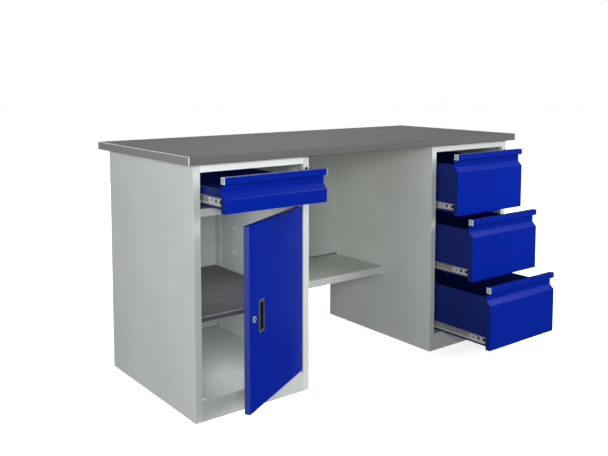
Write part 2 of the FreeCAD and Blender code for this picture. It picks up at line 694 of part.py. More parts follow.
def drawer_members():
    """Inner channels of the slides, fixed to the drawer's sides, with their holes and end notch."""
    inner = -BOX_WIDTH / 2
    outer = inner - SLIDE_CHANNEL_DEPTH
    half = DRAWER_MEMBER_HEIGHT / 2
    length = (SLIDE_FRONT, SLIDE_BACK)
    centre = SLIDE_CENTRE_HEIGHT
    member = joined([
        block((inner - SLIDE_STEEL, inner), length, (centre - half, centre + half)),
        block((outer, inner), length, (centre + half - SLIDE_STEEL, centre + half)),
        block((outer, inner), length, (centre - half, centre - half + SLIDE_STEEL)),
    ])
    through = (outer - CUT_OVERRUN, inner + CUT_OVERRUN)
    for inset in (MEMBER_HOLE_INSET, SLIDE_LENGTH - MEMBER_HOLE_INSET):
        member = member.cut(rod_along_x(MEMBER_HOLE_DIAMETER / 2, through, length[0] + inset, centre))
    member = member.cut(rod_along_x(MEMBER_SMALL_HOLE_DIAMETER / 2, through,
                                    length[0] + MEMBER_SMALL_HOLE_INSET, centre))
    notch_half = MEMBER_NOTCH_HEIGHT / 2
    member = member.cut(block(through, (length[0] - CUT_OVERRUN, length[0] + MEMBER_NOTCH_DEPTH),
                              (centre - notch_half, centre + notch_half)))
    return both_sides([member])


def ball_cages():
    """Cages in the middle of closed slides, each with two rows of balls."""
    web_outer = SLIDE_STEEL + CAGE_WEB_GAP - OPENING_WIDTH / 2
    web_inner = web_outer + CAGE_SHEET
    ball_x = -OPENING_WIDTH / 2 + SLIDE_SPACE / 2
    flange_end = ball_x + BALL_RADIUS - CAGE_HOLE_CLEARANCE
    web_half = CABINET_MEMBER_HEIGHT / 2 - SLIDE_STEEL - CAGE_EDGE_GAP
    middle = (SLIDE_FRONT + SLIDE_BACK) / 2
    length = (middle - CAGE_LENGTH / 2, middle + CAGE_LENGTH / 2)
    centre = SLIDE_CENTRE_HEIGHT
    pieces = [block((web_outer, web_inner), length, (centre - web_half, centre + web_half))]
    balls = []
    for side in (-1, 1):
        row = centre + side * BALL_HEIGHT
        pieces.append(block((web_outer, flange_end), length, (row - CAGE_SHEET / 2, row + CAGE_SHEET / 2)))
    cage = joined(pieces)
    pitch = CAGE_LENGTH / BALLS_PER_ROW
    first = length[0] + pitch / 2
    for side in (-1, 1):
        for number in range(BALLS_PER_ROW):
            place = FreeCAD.Vector(ball_x, first + number * pitch, centre + side * BALL_HEIGHT)
            cage = cage.cut(Part.makeSphere(BALL_RADIUS + CAGE_HOLE_CLEARANCE, place))
            balls.append(Part.makeSphere(BALL_RADIUS, place))
    return both_sides([cage] + balls)


# Cupboard, built from X = 0 at the left pedestal's left side, with the door closed

def folded_shelf(x_span, y_span, top, lip, lip_return, end_lips):
    """Sheet shelf with front and back lips that turn under, and plain end lips where wanted."""
    under = (top - lip, top)
    turn = (top - lip, top - lip + SHEET)
    front = y_span[0]
    back = y_span[1]
    pieces = [
        block(x_span, y_span, (top - SHEET, top)),
        block(x_span, (front, front + SHEET), under),
        block(x_span, (back - SHEET, back), under),
        block(x_span, (front, front + lip_return), turn),
        block(x_span, (back - lip_return, back), turn),
    ]
    if end_lips:
        pieces.append(block((x_span[0], x_span[0] + SHEET), y_span, under))
        pieces.append(block((x_span[1] - SHEET, x_span[1]), y_span, under))
    solid = joined(pieces)

    def on_front_fold(point):
        return near(point.y, front) and near(point.z, top)
    return rounded(solid, FOLD_RADIUS, on_front_fold)


def cupboard_shelf():
    """Loose shelf that lies on the lowest studs."""
    inset = 2 * SHEET + CUPBOARD_SHELF_SIDE_GAP
    return folded_shelf((inset, PEDESTAL_WIDTH - inset),
                        (CUPBOARD_SHELF_SETBACK, PEDESTAL_DEPTH - SHEET - CUPBOARD_SHELF_BACK_GAP),
                        CUPBOARD_SHELF_TOP, CUPBOARD_SHELF_LIP, CUPBOARD_SHELF_LIP_RETURN, True)


def shelf_studs():
    """Round studs welded to the cupboard's walls at each height that the shelf can take."""
    lowest = CUPBOARD_SHELF_TOP - CUPBOARD_SHELF_LIP - STUD_DIAMETER / 2
    studs = []
    for level in range(STUD_LEVELS):
        for y in (STUD_FRONT_INSET, PEDESTAL_DEPTH - STUD_REAR_INSET):
            stud = rod_along_x(STUD_DIAMETER / 2, (SHEET, SHEET + STUD_LENGTH), y,
                               lowest + level * STUD_PITCH)
            studs += [stud, mirrored_at(stud, PEDESTAL_WIDTH / 2)]
    return grouped(studs)


def handle_spans():
    """The handle frame's extent in X and Z."""
    left = DOOR_LEFT + HANDLE_EDGE_INSET
    return (left, left + HANDLE_WIDTH), (HANDLE_BOTTOM_HEIGHT, HANDLE_BOTTOM_HEIGHT + HANDLE_LENGTH)


def handle_plate(inset, y_span, radius):
    """A plate with round corners, drawn in from the handle frame's edge."""
    x_span, z_span = handle_spans()
    plate = block((x_span[0] + inset, x_span[1] - inset), y_span, (z_span[0] + inset, z_span[1] - inset))
    return lying_along_y(plate, radius, sum(x_span) / 2, sum(z_span) / 2)


def door_handle():
    """Recessed plastic handle: a rim on the door's face round a pocket for the fingers."""
    pocket_outer = HANDLE_RIM - HANDLE_WALL
    rim = handle_plate(0.0, (-HANDLE_RIM_PROUD, 0), HANDLE_CORNER_RADIUS)
    tub = handle_plate(pocket_outer, (0, HANDLE_POCKET_DEPTH), HANDLE_POCKET_RADIUS + HANDLE_WALL)
    hollow = handle_plate(HANDLE_RIM, (-HANDLE_RIM_PROUD - CUT_OVERRUN, HANDLE_POCKET_DEPTH - HANDLE_WALL),
                          HANDLE_POCKET_RADIUS)
    return joined([rim, tub]).cut(hollow)


def lock_centre_x():
    """The door lock's axis in X."""
    return DOOR_LEFT + LOCK_EDGE_INSET


def door_outer_skin():
    """Door face with four returns, cut out for the handle and the lock."""
    face = (DOOR_LEFT, DOOR_RIGHT)
    rise = (DOOR_BOTTOM, DOOR_TOP)
    solid = block(face, (0, DOOR_THICKNESS), rise).cut(
        block((face[0] + DOOR_SHEET, face[1] - DOOR_SHEET), (DOOR_SHEET, DOOR_THICKNESS + CUT_OVERRUN),
              (rise[0] + DOOR_SHEET, rise[1] - DOOR_SHEET)))
    solid = rounded(solid, FOLD_RADIUS, lambda point: near(point.y, 0))
    inset = HANDLE_RIM - HANDLE_WALL - HANDLE_FIT
    corner = HANDLE_POCKET_RADIUS + HANDLE_WALL + HANDLE_FIT
    solid = solid.cut(handle_plate(inset, (-CUT_OVERRUN, DOOR_SHEET + CUT_OVERRUN), corner))
    solid = solid.cut(rod_along_y(LOCK_BODY_DIAMETER / 2, lock_centre_x(),
                                  (-CUT_OVERRUN, DOOR_SHEET + CUT_OVERRUN), LOCK_HEIGHT))
    for edge in rise:
        solid = solid.cut(rod_along_z(HINGE_PIN_DIAMETER / 2, HINGE_X, HINGE_FACE_INSET,
                                      (edge - CUT_OVERRUN, edge + CUT_OVERRUN)))
    return solid


def door_inner_skin():
    """Back sheet of the door with flanges inside the outer skin's returns."""
    face = (DOOR_LEFT + DOOR_SHEET, DOOR_RIGHT - DOOR_SHEET)
    rise = (DOOR_BOTTOM + DOOR_SHEET, DOOR_TOP - DOOR_SHEET)
    front = DOOR_THICKNESS - DOOR_INNER_FLANGE
    solid = block(face, (front, DOOR_THICKNESS), rise).cut(
        block((face[0] + DOOR_SHEET, face[1] - DOOR_SHEET),
              (front - CUT_OVERRUN, DOOR_THICKNESS - DOOR_SHEET),
              (rise[0] + DOOR_SHEET, rise[1] - DOOR_SHEET)))
    solid = solid.cut(rod_along_y(LOCK_BODY_DIAMETER / 2, lock_centre_x(),
                                  (front, DOOR_THICKNESS + CUT_OVERRUN), LOCK_HEIGHT))
    clear = HINGE_PIN_HEAD_DIAMETER / 2 + DOOR_SHEET
    for edge in rise:
        solid = solid.cut(rod_along_z(clear, HINGE_X, HINGE_FACE_INSET,
                                      (edge - HINGE_PIN_HEAD_HEIGHT - CUT_OVERRUN,
                                       edge + HINGE_PIN_HEAD_HEIGHT + CUT_OVERRUN)))
    return solid


def hinge_pins():
    """Two headed pins that stand out of the door's ends."""
    pins = []
    for edge, outward in ((DOOR_BOTTOM, -1), (DOOR_TOP, 1)):
        tip = edge + outward * HINGE_PIN_PROJECTION
        seat = edge - outward * DOOR_SHEET
        head = seat - outward * HINGE_PIN_HEAD_HEIGHT
        pins.append(joined([
            rod_along_z(HINGE_PIN_DIAMETER / 2, HINGE_X, HINGE_FACE_INSET, (seat, tip)),
            rod_along_z(HINGE_PIN_HEAD_DIAMETER / 2, HINGE_X, HINGE_FACE_INSET, (head, seat)),
        ]))
    return grouped(pins)


def pivot_bushes():
    """Flanged nylon bushes: two carry the door, two fill the holes for hanging it on the left."""
    lip_bottom = DIVIDER_TOP - DIVIDER_LIP
    flange = BUSH_FLANGE_DIAMETER / 2
    shank = BUSH_SHANK_DIAMETER / 2
    bore = HINGE_PIN_DIAMETER / 2 + BUSH_CLEARANCE
    low_top = DOOR_BOTTOM - BUSH_RUNNING_GAP
    shank_ends = (PLINTH_HEIGHT - BUSH_SHANK_LENGTH, lip_bottom + BUSH_SHANK_LENGTH)
    y = HINGE_FACE_INSET
    bushes = []
    for x in (HINGE_X, PEDESTAL_WIDTH - HINGE_X):
        through = rod_along_z(bore, x, y, (shank_ends[0] - CUT_OVERRUN, shank_ends[1] + CUT_OVERRUN))
        low = joined([
            rod_along_z(flange, x, y, (PLINTH_HEIGHT, low_top)),
            rod_along_z(shank, x, y, (shank_ends[0], PLINTH_HEIGHT)),
        ])
        high = joined([
            rod_along_z(flange, x, y, (lip_bottom - TOP_BUSH_FLANGE_HEIGHT, lip_bottom)),
            rod_along_z(shank, x, y, (lip_bottom, shank_ends[1])),
        ])
        bushes += [low.cut(through), high.cut(through)]
    return grouped(bushes)


def door_lock_case():
    """Plated lock case with a round rim on the door's face."""
    x = lock_centre_x()
    rim = rod_along_y(LOCK_RIM_DIAMETER / 2, x, (-LOCK_RIM_PROUD, 0), LOCK_HEIGHT)
    rim = rounded(rim, FOLD_RADIUS, lambda point: near(point.y, -LOCK_RIM_PROUD))
    body = rod_along_y(LOCK_BODY_DIAMETER / 2, x, (0, DOOR_THICKNESS), LOCK_HEIGHT)
    bore = rod_along_y(LOCK_PLUG_DIAMETER / 2 + LOCK_PLUG_CLEARANCE, x,
                       (-LOCK_RIM_PROUD - CUT_OVERRUN, DOOR_THICKNESS + CUT_OVERRUN), LOCK_HEIGHT)
    return joined([rim, body]).cut(bore)


def keyway(x, front, z):
    """The slot for the key, upright in a plug's front face."""
    return block((x - KEYWAY_WIDTH / 2, x + KEYWAY_WIDTH / 2), (front - CUT_OVERRUN, front + KEYWAY_DEPTH),
                 (z - KEYWAY_LENGTH / 2, z + KEYWAY_LENGTH / 2))


def door_lock_plug():
    """Turning plug with the cam that reaches behind the stile when it points sideways."""
    x = lock_centre_x()
    cam_front = DOOR_THICKNESS + LOCK_CAM_GAP
    cam = (cam_front, cam_front + LOCK_CAM_THICKNESS)
    half = LOCK_CAM_WIDTH / 2
    solid = joined([
        rod_along_y(LOCK_PLUG_DIAMETER / 2, x, (-LOCK_RIM_PROUD, cam[1]), LOCK_HEIGHT),
        block((x - half, x + half), cam, (LOCK_HEIGHT - LOCK_CAM_LENGTH + half, LOCK_HEIGHT)),
        rod_along_y(half, x, cam, LOCK_HEIGHT),
        rod_along_y(half, x, cam, LOCK_HEIGHT - LOCK_CAM_LENGTH + half),
    ])
    return solid.cut(keyway(x, -LOCK_RIM_PROUD, LOCK_HEIGHT))


# Drawer locks, built from X = 0 at a pedestal's left side

def stile_lock_case():
    """Threaded case through the stile, with its nut behind the sheet."""
    z = STILE_LOCK_HEIGHT
    case = rod_along_y(STILE_LOCK_DIAMETER / 2, STILE_LOCK_X, (-STILE_LOCK_PROUD, STILE_LOCK_LENGTH), z)
    nut = hexagon_along("y", STILE_LOCK_NUT_ACROSS_FLATS, FreeCAD.Vector(STILE_LOCK_X, SHEET, z),
                        STILE_LOCK_NUT_HEIGHT)
    bore = rod_along_y(STILE_LOCK_PLUG_DIAMETER / 2 + LOCK_PLUG_CLEARANCE, STILE_LOCK_X,
                       (-STILE_LOCK_PROUD - CUT_OVERRUN, STILE_LOCK_LENGTH + CUT_OVERRUN), z)
    return joined([case, nut]).cut(bore)


def crank_pin_offset():
    """The crank pin's distance from the lock's axis, both sideways and up, when unlocked."""
    return CRANK_RADIUS / math.sqrt(2)


def stile_lock_plug():
    """Turning plug with a crank disc and pin that lower the lock bar."""
    z = STILE_LOCK_HEIGHT
    disc_back = CRANK_FRONT + CRANK_DISC_THICKNESS
    offset = crank_pin_offset()
    solid = joined([
        rod_along_y(STILE_LOCK_PLUG_DIAMETER / 2, STILE_LOCK_X, (-STILE_LOCK_PROUD, CRANK_FRONT), z),
        rod_along_y(CRANK_DISC_DIAMETER / 2, STILE_LOCK_X, (CRANK_FRONT, disc_back), z),
        rod_along_y(CRANK_PIN_DIAMETER / 2, STILE_LOCK_X - offset,
                    (disc_back, BAR_FRONT + BAR_THICKNESS + CRANK_GAP), z + offset),
    ])
    return solid.cut(keyway(STILE_LOCK_X, -STILE_LOCK_PROUD, z))


def lock_bar(stud_heights):
    """Flat bar with a slot for the crank pin and a finger above each drawer's stud."""
    depth = (BAR_FRONT, BAR_FRONT + BAR_THICKNESS)
    bottom = min(STILE_LOCK_HEIGHT, min(stud_heights)) - BAR_TAIL
    top = max(STILE_LOCK_HEIGHT, max(stud_heights)) + BAR_HEAD
    pieces = [block((BAR_LEFT, BAR_RIGHT), depth, (bottom, top))]
    for height in stud_heights:
        finger_bottom = height + CATCH_STUD_DIAMETER / 2 + FINGER_STUD_GAP
        pieces.append(block((BAR_LEFT - FINGER_REACH, BAR_LEFT), depth,
                            (finger_bottom, finger_bottom + FINGER_HEIGHT)))
    offset = crank_pin_offset()
    half_pin = CRANK_PIN_DIAMETER / 2 + CRANK_SLOT_CLEARANCE
    slot = block((STILE_LOCK_X - CRANK_RADIUS - half_pin, STILE_LOCK_X - offset + half_pin),
                 (depth[0] - CUT_OVERRUN, depth[1] + CUT_OVERRUN),
                 (STILE_LOCK_HEIGHT + offset - half_pin, STILE_LOCK_HEIGHT + offset + half_pin))
    return joined(pieces).cut(slot)


def bar_guide(height):
    """Block behind the stile with a groove for the lock bar's edge."""
    inner = BAR_RIGHT - GUIDE_OVERLAP
    back = BAR_FRONT + BAR_THICKNESS
    z_span = (height - GUIDE_HEIGHT / 2, height + GUIDE_HEIGHT / 2)
    body = block((inner, inner + GUIDE_WIDTH), (SHEET, back + GUIDE_BACK), z_span)
    groove = block((inner - CUT_OVERRUN, BAR_RIGHT + GUIDE_CLEARANCE),
                   (BAR_FRONT - GUIDE_CLEARANCE, back + GUIDE_CLEARANCE),
                   (z_span[0] - CUT_OVERRUN, z_span[1] + CUT_OVERRUN))
    return body.cut(groove)


def riveted_bar_guide():
    """The right pedestal's guide, with the rivet whose head shows on the stile."""
    x = PEDESTAL_WIDTH - RIVET_EDGE_INSET
    shank = rod_along_y(RIVET_DIAMETER / 2, x, (0, SHEET), RIGHT_GUIDE_HEIGHT)
    head = rod_along_y(RIVET_HEAD_DIAMETER / 2, x, (-RIVET_HEAD_HEIGHT, 0), RIGHT_GUIDE_HEIGHT)
    return joined([bar_guide(RIGHT_GUIDE_HEIGHT), shank, head])


def stile_holes(solid, with_rivet):
    """Drills a right-hand wall's stile for the lock, and for the guide's rivet where it has one."""
    solid = solid.cut(rod_along_y(STILE_LOCK_DIAMETER / 2, STILE_LOCK_X,
                                  (-CUT_OVERRUN, SHEET + CUT_OVERRUN), STILE_LOCK_HEIGHT))
    if with_rivet:
        solid = solid.cut(rod_along_y(RIVET_DIAMETER / 2, PEDESTAL_WIDTH - RIVET_EDGE_INSET,
                                      (-CUT_OVERRUN, SHEET + CUT_OVERRUN), RIGHT_GUIDE_HEIGHT))
    return solid


# Between the pedestals

def knee_span():
    """The free width between the pedestals."""
    return (LEFT_PEDESTAL_X + PEDESTAL_WIDTH + SPAN_FIT_GAP, RIGHT_PEDESTAL_X - SPAN_FIT_GAP)


def span_holes(shape, places):
    """Drills both ends of a piece between the pedestals, at distances from the back and heights."""
    ends = knee_span()
    x_span = (ends[0] - CUT_OVERRUN, ends[1] + CUT_OVERRUN)
    for inset, height in places:
        shape = shape.cut(rod_along_x(BOLT_DIAMETER / 2, x_span, PEDESTAL_DEPTH - inset, height))
    return shape


def screen():
    """Back screen with side flanges bolted to the pedestals and edge flanges top and bottom."""
    x_span = knee_span()
    front = PEDESTAL_DEPTH - SCREEN_SETBACK
    bottom = LOW_SHELF_TOP + SCREEN_BOTTOM_GAP
    rise = (bottom, PEDESTAL_HEIGHT)
    edge_depth = (front, front + SCREEN_EDGE_FLANGE)
    side_depth = (front, front + SCREEN_SIDE_FLANGE)
    solid = joined([
        block(x_span, (front, front + SHEET), rise),
        block(x_span, edge_depth, (rise[1] - SHEET, rise[1])),
        block(x_span, edge_depth, (rise[0], rise[0] + SHEET)),
        block((x_span[0], x_span[0] + SHEET), side_depth, rise),
        block((x_span[1] - SHEET, x_span[1]), side_depth, rise),
    ])
    return span_holes(solid, ((SCREEN_BOLT_INSET, SCREEN_BOLT_LOW_HEIGHT),
                              (SCREEN_BOLT_INSET, SCREEN_BOLT_HIGH_HEIGHT)))


def low_shelf():
    """Low shelf between the pedestals, bolted through upright flanges at its ends."""
    x_span = knee_span()
    back = PEDESTAL_DEPTH - LOW_SHELF_REAR_INSET
    shelf = folded_shelf(x_span, (back - LOW_SHELF_DEPTH, back), LOW_SHELF_TOP, LOW_SHELF_LIP,
                         LOW_SHELF_LIP_RETURN, False)
    flange_depth = (back - LOW_SHELF_END_FLANGE_LENGTH, back)
    rise = (LOW_SHELF_TOP - SHEET, LOW_SHELF_TOP + LOW_SHELF_END_FLANGE_HEIGHT)
    solid = joined([
        shelf,
        block((x_span[0], x_span[0] + SHEET), flange_depth, rise),
        block((x_span[1] - SHEET, x_span[1]), flange_depth, rise),
    ])
    return span_holes(solid, ((LOW_SHELF_REAR_BOLT_INSET, LOW_SHELF_BOLT_HEIGHT),
                              (LOW_SHELF_FRONT_BOLT_INSET, LOW_SHELF_BOLT_HEIGHT)))


def tie_bolt(flange_x, nut_x, y, z):
    """Button-head bolt along X, from the flange between the pedestals to the nut inside one."""
    inward = 1 if nut_x > flange_x else -1
    head_end = flange_x - inward * BOLT_HEAD_HEIGHT
    tail_end = nut_x + inward * (NUT_HEIGHT + BOLT_TAIL)
    nut = hexagon_along("x", NUT_ACROSS_FLATS, FreeCAD.Vector(nut_x, y, z), inward * NUT_HEIGHT)
    return joined([
        rod_along_x(BOLT_HEAD_DIAMETER / 2, (head_end, flange_x), y, z),
        rod_along_x(BOLT_DIAMETER / 2, (flange_x, tail_end), y, z),
        nut,
    ])


def tie_bolts():
    """Bolts with nuts that hold the screen and the low shelf to the pedestals."""
    x_span = knee_span()
    places = ((SCREEN_BOLT_INSET, SCREEN_BOLT_LOW_HEIGHT, 2 * SHEET),
              (SCREEN_BOLT_INSET, SCREEN_BOLT_HIGH_HEIGHT, 2 * SHEET),
              (LOW_SHELF_REAR_BOLT_INSET, LOW_SHELF_BOLT_HEIGHT, SHEET),
              (LOW_SHELF_FRONT_BOLT_INSET, LOW_SHELF_BOLT_HEIGHT, SHEET))
    bolts = []
    for inset, height, wall in places:
        y = PEDESTAL_DEPTH - inset
        bolts.append(tie_bolt(x_span[0] + SHEET, x_span[0] - SPAN_FIT_GAP - wall, y, height))
        bolts.append(tie_bolt(x_span[1] - SHEET, x_span[1] + SPAN_FIT_GAP + wall, y, height))
    return grouped(bolts)


# Assembly: each node's name and its shape at rest

def swung(shape):
    """The door's pieces, moved to the left pedestal and turned open about the hinge."""
    pivot = FreeCAD.Vector(HINGE_X, HINGE_FACE_INSET, 0)
    turned = shape.copy()
    turned.rotate(pivot, Z_AXIS, DOOR_OPEN_DEGREES)
    return moved(turned, x=LEFT_PEDESTAL_X)


def catch_stud_height(front_bottom, front_height):
    """How high a drawer's catch stud lies above the floor."""
    return front_bottom + front_height - BOX_SIDE_DROP - CATCH_STUD_DROP


DRAWERS = {
    "left_drawer": (LEFT_PEDESTAL_X, LEFT_FRONT_BOTTOM, LEFT_FRONT_HEIGHT, LEFT_DRAWER_OPEN),
    "upper_drawer": (RIGHT_PEDESTAL_X, UPPER_FRONT_BOTTOM, TALL_FRONT_HEIGHT, UPPER_DRAWER_OPEN),
    "middle_drawer": (RIGHT_PEDESTAL_X, MIDDLE_FRONT_BOTTOM, TALL_FRONT_HEIGHT, MIDDLE_DRAWER_OPEN),
    "lower_drawer": (RIGHT_PEDESTAL_X, LOWER_FRONT_BOTTOM, TALL_FRONT_HEIGHT, LOWER_DRAWER_OPEN),
}


def worktop_nodes():
    """The worktop's pieces."""
    return {
        "worktop_core": worktop_core(),
        "worktop_cladding": worktop_cladding(),
        "worktop_end_plates": worktop_end_plates(),
        "worktop_screws": worktop_screws(),
    }


def pedestal_nodes():
    """The two pedestals' shells and what is fixed in them."""
    left = {
        "left_pedestal_outer_wall": side_wall(False, SPARE_HOLE_DIAMETER),
        "left_pedestal_inner_wall": stile_holes(side_wall(True, BOLT_HOLE_DIAMETER), False),
        "left_pedestal_back": back_tray(SPARE_HOLE_DIAMETER, BOLT_HOLE_DIAMETER),
        "left_pedestal_top": top_pan(LEFT_PEDESTAL_X),
        "left_pedestal_floor": floor_pan(True),
        "left_pedestal_divider": divider_pan(),
        "left_slide_posts": slide_posts(DIVIDER_TOP),
        "cupboard_shelf": cupboard_shelf(),
        "cupboard_shelf_studs": shelf_studs(),
        "door_pivot_bushes": pivot_bushes(),
    }
    right = {
        "right_pedestal_inner_wall": side_wall(False, BOLT_HOLE_DIAMETER),
        "right_pedestal_outer_wall": stile_holes(side_wall(True, SPARE_HOLE_DIAMETER), True),
        "right_pedestal_back": back_tray(BOLT_HOLE_DIAMETER, SPARE_HOLE_DIAMETER),
        "right_pedestal_top": top_pan(RIGHT_PEDESTAL_X),
        "right_pedestal_floor": floor_pan(False),
        "right_slide_posts": slide_posts(PLINTH_HEIGHT),
    }
    nodes = {name: moved(shape, x=LEFT_PEDESTAL_X) for name, shape in left.items()}
    nodes.update({name: moved(shape, x=RIGHT_PEDESTAL_X) for name, shape in right.items()})
    return nodes


def drawer_nodes(name):
    """One drawer with its slides, open by its own distance; the cages have moved half as far."""
    pedestal_x, bottom, height, opened = DRAWERS[name]
    x = pedestal_x + PEDESTAL_WIDTH / 2
    return {
        f"{name}_front": moved(drawer_front(height), x, -opened, bottom),
        f"{name}_lip_caps": moved(lip_caps(height), x, -opened, bottom),
        f"{name}_box": moved(drawer_box(height), x, -opened, bottom),
        f"{name}_slide_inner_members": moved(drawer_members(), x, -opened, bottom),
        f"{name}_slide_ball_cages": moved(ball_cages(), x, -opened / 2, bottom),
        f"{name}_slide_outer_members": moved(cabinet_members(), x, 0.0, bottom),
    }


def door_nodes():
    """The cupboard door and what it carries."""
    return {
        "door_outer_skin": swung(door_outer_skin()),
        "door_inner_skin": swung(door_inner_skin()),
        "door_handle": swung(door_handle()),
        "door_hinge_pins": swung(hinge_pins()),
        "door_lock_case": swung(door_lock_case()),
        "door_lock_plug": swung(door_lock_plug()),
    }


def drawer_lock_nodes():
    """The locks in the two right-hand stiles, their bars and the bars' guides."""
    heights = {name: catch_stud_height(bottom, height)
               for name, (_, bottom, height, _) in DRAWERS.items()}
    left_heights = [heights["left_drawer"]]
    right_heights = [heights[name] for name in ("upper_drawer", "middle_drawer", "lower_drawer")]
    return {
        "drawer_lock_cases": grouped([moved(stile_lock_case(), x=LEFT_PEDESTAL_X),
                                      moved(stile_lock_case(), x=RIGHT_PEDESTAL_X)]),
        "left_drawer_lock_plug": moved(stile_lock_plug(), x=LEFT_PEDESTAL_X),
        "right_drawer_lock_plug": moved(stile_lock_plug(), x=RIGHT_PEDESTAL_X),
        "left_lock_bar": moved(lock_bar(left_heights), x=LEFT_PEDESTAL_X),
        "right_lock_bar": moved(lock_bar(right_heights), x=RIGHT_PEDESTAL_X),
        "lock_bar_guides": grouped([moved(bar_guide(LEFT_GUIDE_HEIGHT), x=LEFT_PEDESTAL_X),
                                    moved(riveted_bar_guide(), x=RIGHT_PEDESTAL_X)]),
    }


def span_nodes():
    """What lies between the pedestals."""
    return {
        "back_screen": screen(),
        "low_shelf": low_shelf(),
        "tie_bolts": tie_bolts(),
    }


def all_nodes():
    """Every node of the bench, before the last move to the origin."""
    nodes = {}
    nodes.update(worktop_nodes())
    nodes.update(pedestal_nodes())
    for name in DRAWERS:
        nodes.update(drawer_nodes(name))
    nodes.update(door_nodes())
    nodes.update(drawer_lock_nodes())
    nodes.update(span_nodes())
    return nodes


os.makedirs("parts", exist_ok=True)
for node_name, node_shape in all_nodes().items():
    placed = moved(node_shape, y=-ORIGIN_Y)
    placed.exportStep(f"parts/{node_name}.step")
    print(node_name, len(placed.Solids), placed.isValid())
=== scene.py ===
"""Finish and studio of a sheet-steel workbench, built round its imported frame.

The bench has a steel-clad worktop on two pedestals, a drawer over a cupboard on the left and three
tall drawers on the right. Sizes are in millimetres until a mesh, a light or the camera is made.
X runs along the bench, Y from its front to its back and Z up, as in the frame.
"""

import json
import logging
import math
from abc import ABC, abstractmethod
from collections.abc import Callable, Iterable, Sequence
from dataclasses import dataclass, field
from enum import Enum

import bmesh
import bpy
from mathutils import Matrix, Vector

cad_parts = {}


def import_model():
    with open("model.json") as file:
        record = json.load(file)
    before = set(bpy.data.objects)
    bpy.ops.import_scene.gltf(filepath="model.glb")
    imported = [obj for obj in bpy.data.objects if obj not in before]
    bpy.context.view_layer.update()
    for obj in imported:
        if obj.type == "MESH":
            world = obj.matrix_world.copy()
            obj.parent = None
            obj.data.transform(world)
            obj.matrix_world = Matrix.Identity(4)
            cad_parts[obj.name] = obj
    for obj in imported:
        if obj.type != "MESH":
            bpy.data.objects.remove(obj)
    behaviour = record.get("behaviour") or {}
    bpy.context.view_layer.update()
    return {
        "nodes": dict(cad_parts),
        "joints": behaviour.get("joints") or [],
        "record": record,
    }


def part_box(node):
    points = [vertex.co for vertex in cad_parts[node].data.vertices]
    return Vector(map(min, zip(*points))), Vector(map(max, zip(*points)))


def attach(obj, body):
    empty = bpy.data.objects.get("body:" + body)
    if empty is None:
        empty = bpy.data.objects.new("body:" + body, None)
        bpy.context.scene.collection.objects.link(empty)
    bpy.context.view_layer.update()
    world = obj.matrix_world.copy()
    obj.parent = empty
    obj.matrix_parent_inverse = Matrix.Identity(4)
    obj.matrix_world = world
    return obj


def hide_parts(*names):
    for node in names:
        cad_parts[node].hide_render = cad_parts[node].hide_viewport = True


LOG = logging.getLogger("workbench")
METRES_PER_MM = 0.001
# A vertex this near to a plane lies in it.
NEAR_MM = 0.01
# Vertices this near to each other are merged.
MERGE_MM = 1e-4
# A face looks along an axis where its normal has more than this share of it.
FACING = 0.9
# An edge bent by more than this is a corner.
CORNER_ANGLE = math.radians(35.0)
# Sides of small turned parts, of common ones and of the lock.
SMALL_STEPS, ROUND_STEPS, LOCK_STEPS = 24, 40, 48
# Steps across a rounded edge and round a plate's corner.
EDGE_STEPS, CORNER_STEPS = 3, 5

Span = tuple[float, float]
Tree = bpy.types.NodeTree
Node = bpy.types.Node
Socket = bpy.types.NodeSocket
FaceTest = Callable[[bmesh.types.BMFace], bool]


# Nodes of a material

def linear(colour: str) -> tuple[float, float, float, float]:
    """Turns an sRGB hex colour to the linear colour that a shader takes.

    Args:
        colour: Six hex digits after a hash.

    Returns:
        Linear red, green and blue, with full alpha.
    """
    parts = [int(colour[i:i + 2], 16) / 255 for i in (1, 3, 5)]
    red, green, blue = [p / 12.92 if p <= 0.04045 else ((p + 0.055) / 1.055) ** 2.4 for p in parts]
    return red, green, blue, 1.0


def per_metre(size_mm: float) -> float:
    """Pattern scale on Object coordinates for a feature of that real size."""
    return 1 / (size_mm * METRES_PER_MM)


def add_node(tree: Tree, kind: str, settings: dict | None = None,
             links: dict[str, Socket] | None = None) -> Node:
    """Adds a node with its settings and links.

    Args:
        tree: The node tree that takes it.
        kind: The node's type.
        settings: Values by name, of the node's own properties or of its inputs.
        links: Output sockets by the name of the input that they feed.

    Returns:
        The new node.
    """
    made = tree.nodes.new(kind)
    for name, value in (settings or {}).items():
        if name in made.inputs:
            made.inputs[name].default_value = value
        elif name == "stops":
            for element, (place, colour) in zip(made.color_ramp.elements, value):
                element.position, element.color = place, linear(colour)
        else:
            setattr(made, name, value)
    for name, socket in (links or {}).items():
        tree.links.new(socket, made.inputs[name])
    return made


def tint_and_dent(tree: Tree, shader: Node, tint: Socket, stops: Iterable[tuple[float, str]],
                  relief: Socket, strength: float, depth_mm: float) -> None:
    """Feeds a shader the colour that one pattern picks and the relief that another gives.

    Args:
        tree: The material's node tree.
        shader: The material's Principled shader.
        tint: The pattern that picks the colour.
        stops: Places on the pattern and their colours.
        relief: The pattern that gives the relief's height.
        strength: The relief's strength.
        depth_mm: The relief's real depth.
    """
    tone = add_node(tree, "ShaderNodeValToRGB", {"stops": stops}, {"Fac": tint})
    dents = add_node(tree, "ShaderNodeBump",
                     {"Strength": strength, "Distance": depth_mm * METRES_PER_MM},
                     {"Height": relief})
    tree.links.new(tone.outputs["Color"], shader.inputs["Base Color"])
    tree.links.new(dents.outputs["Normal"], shader.inputs["Normal"])


# Finishes

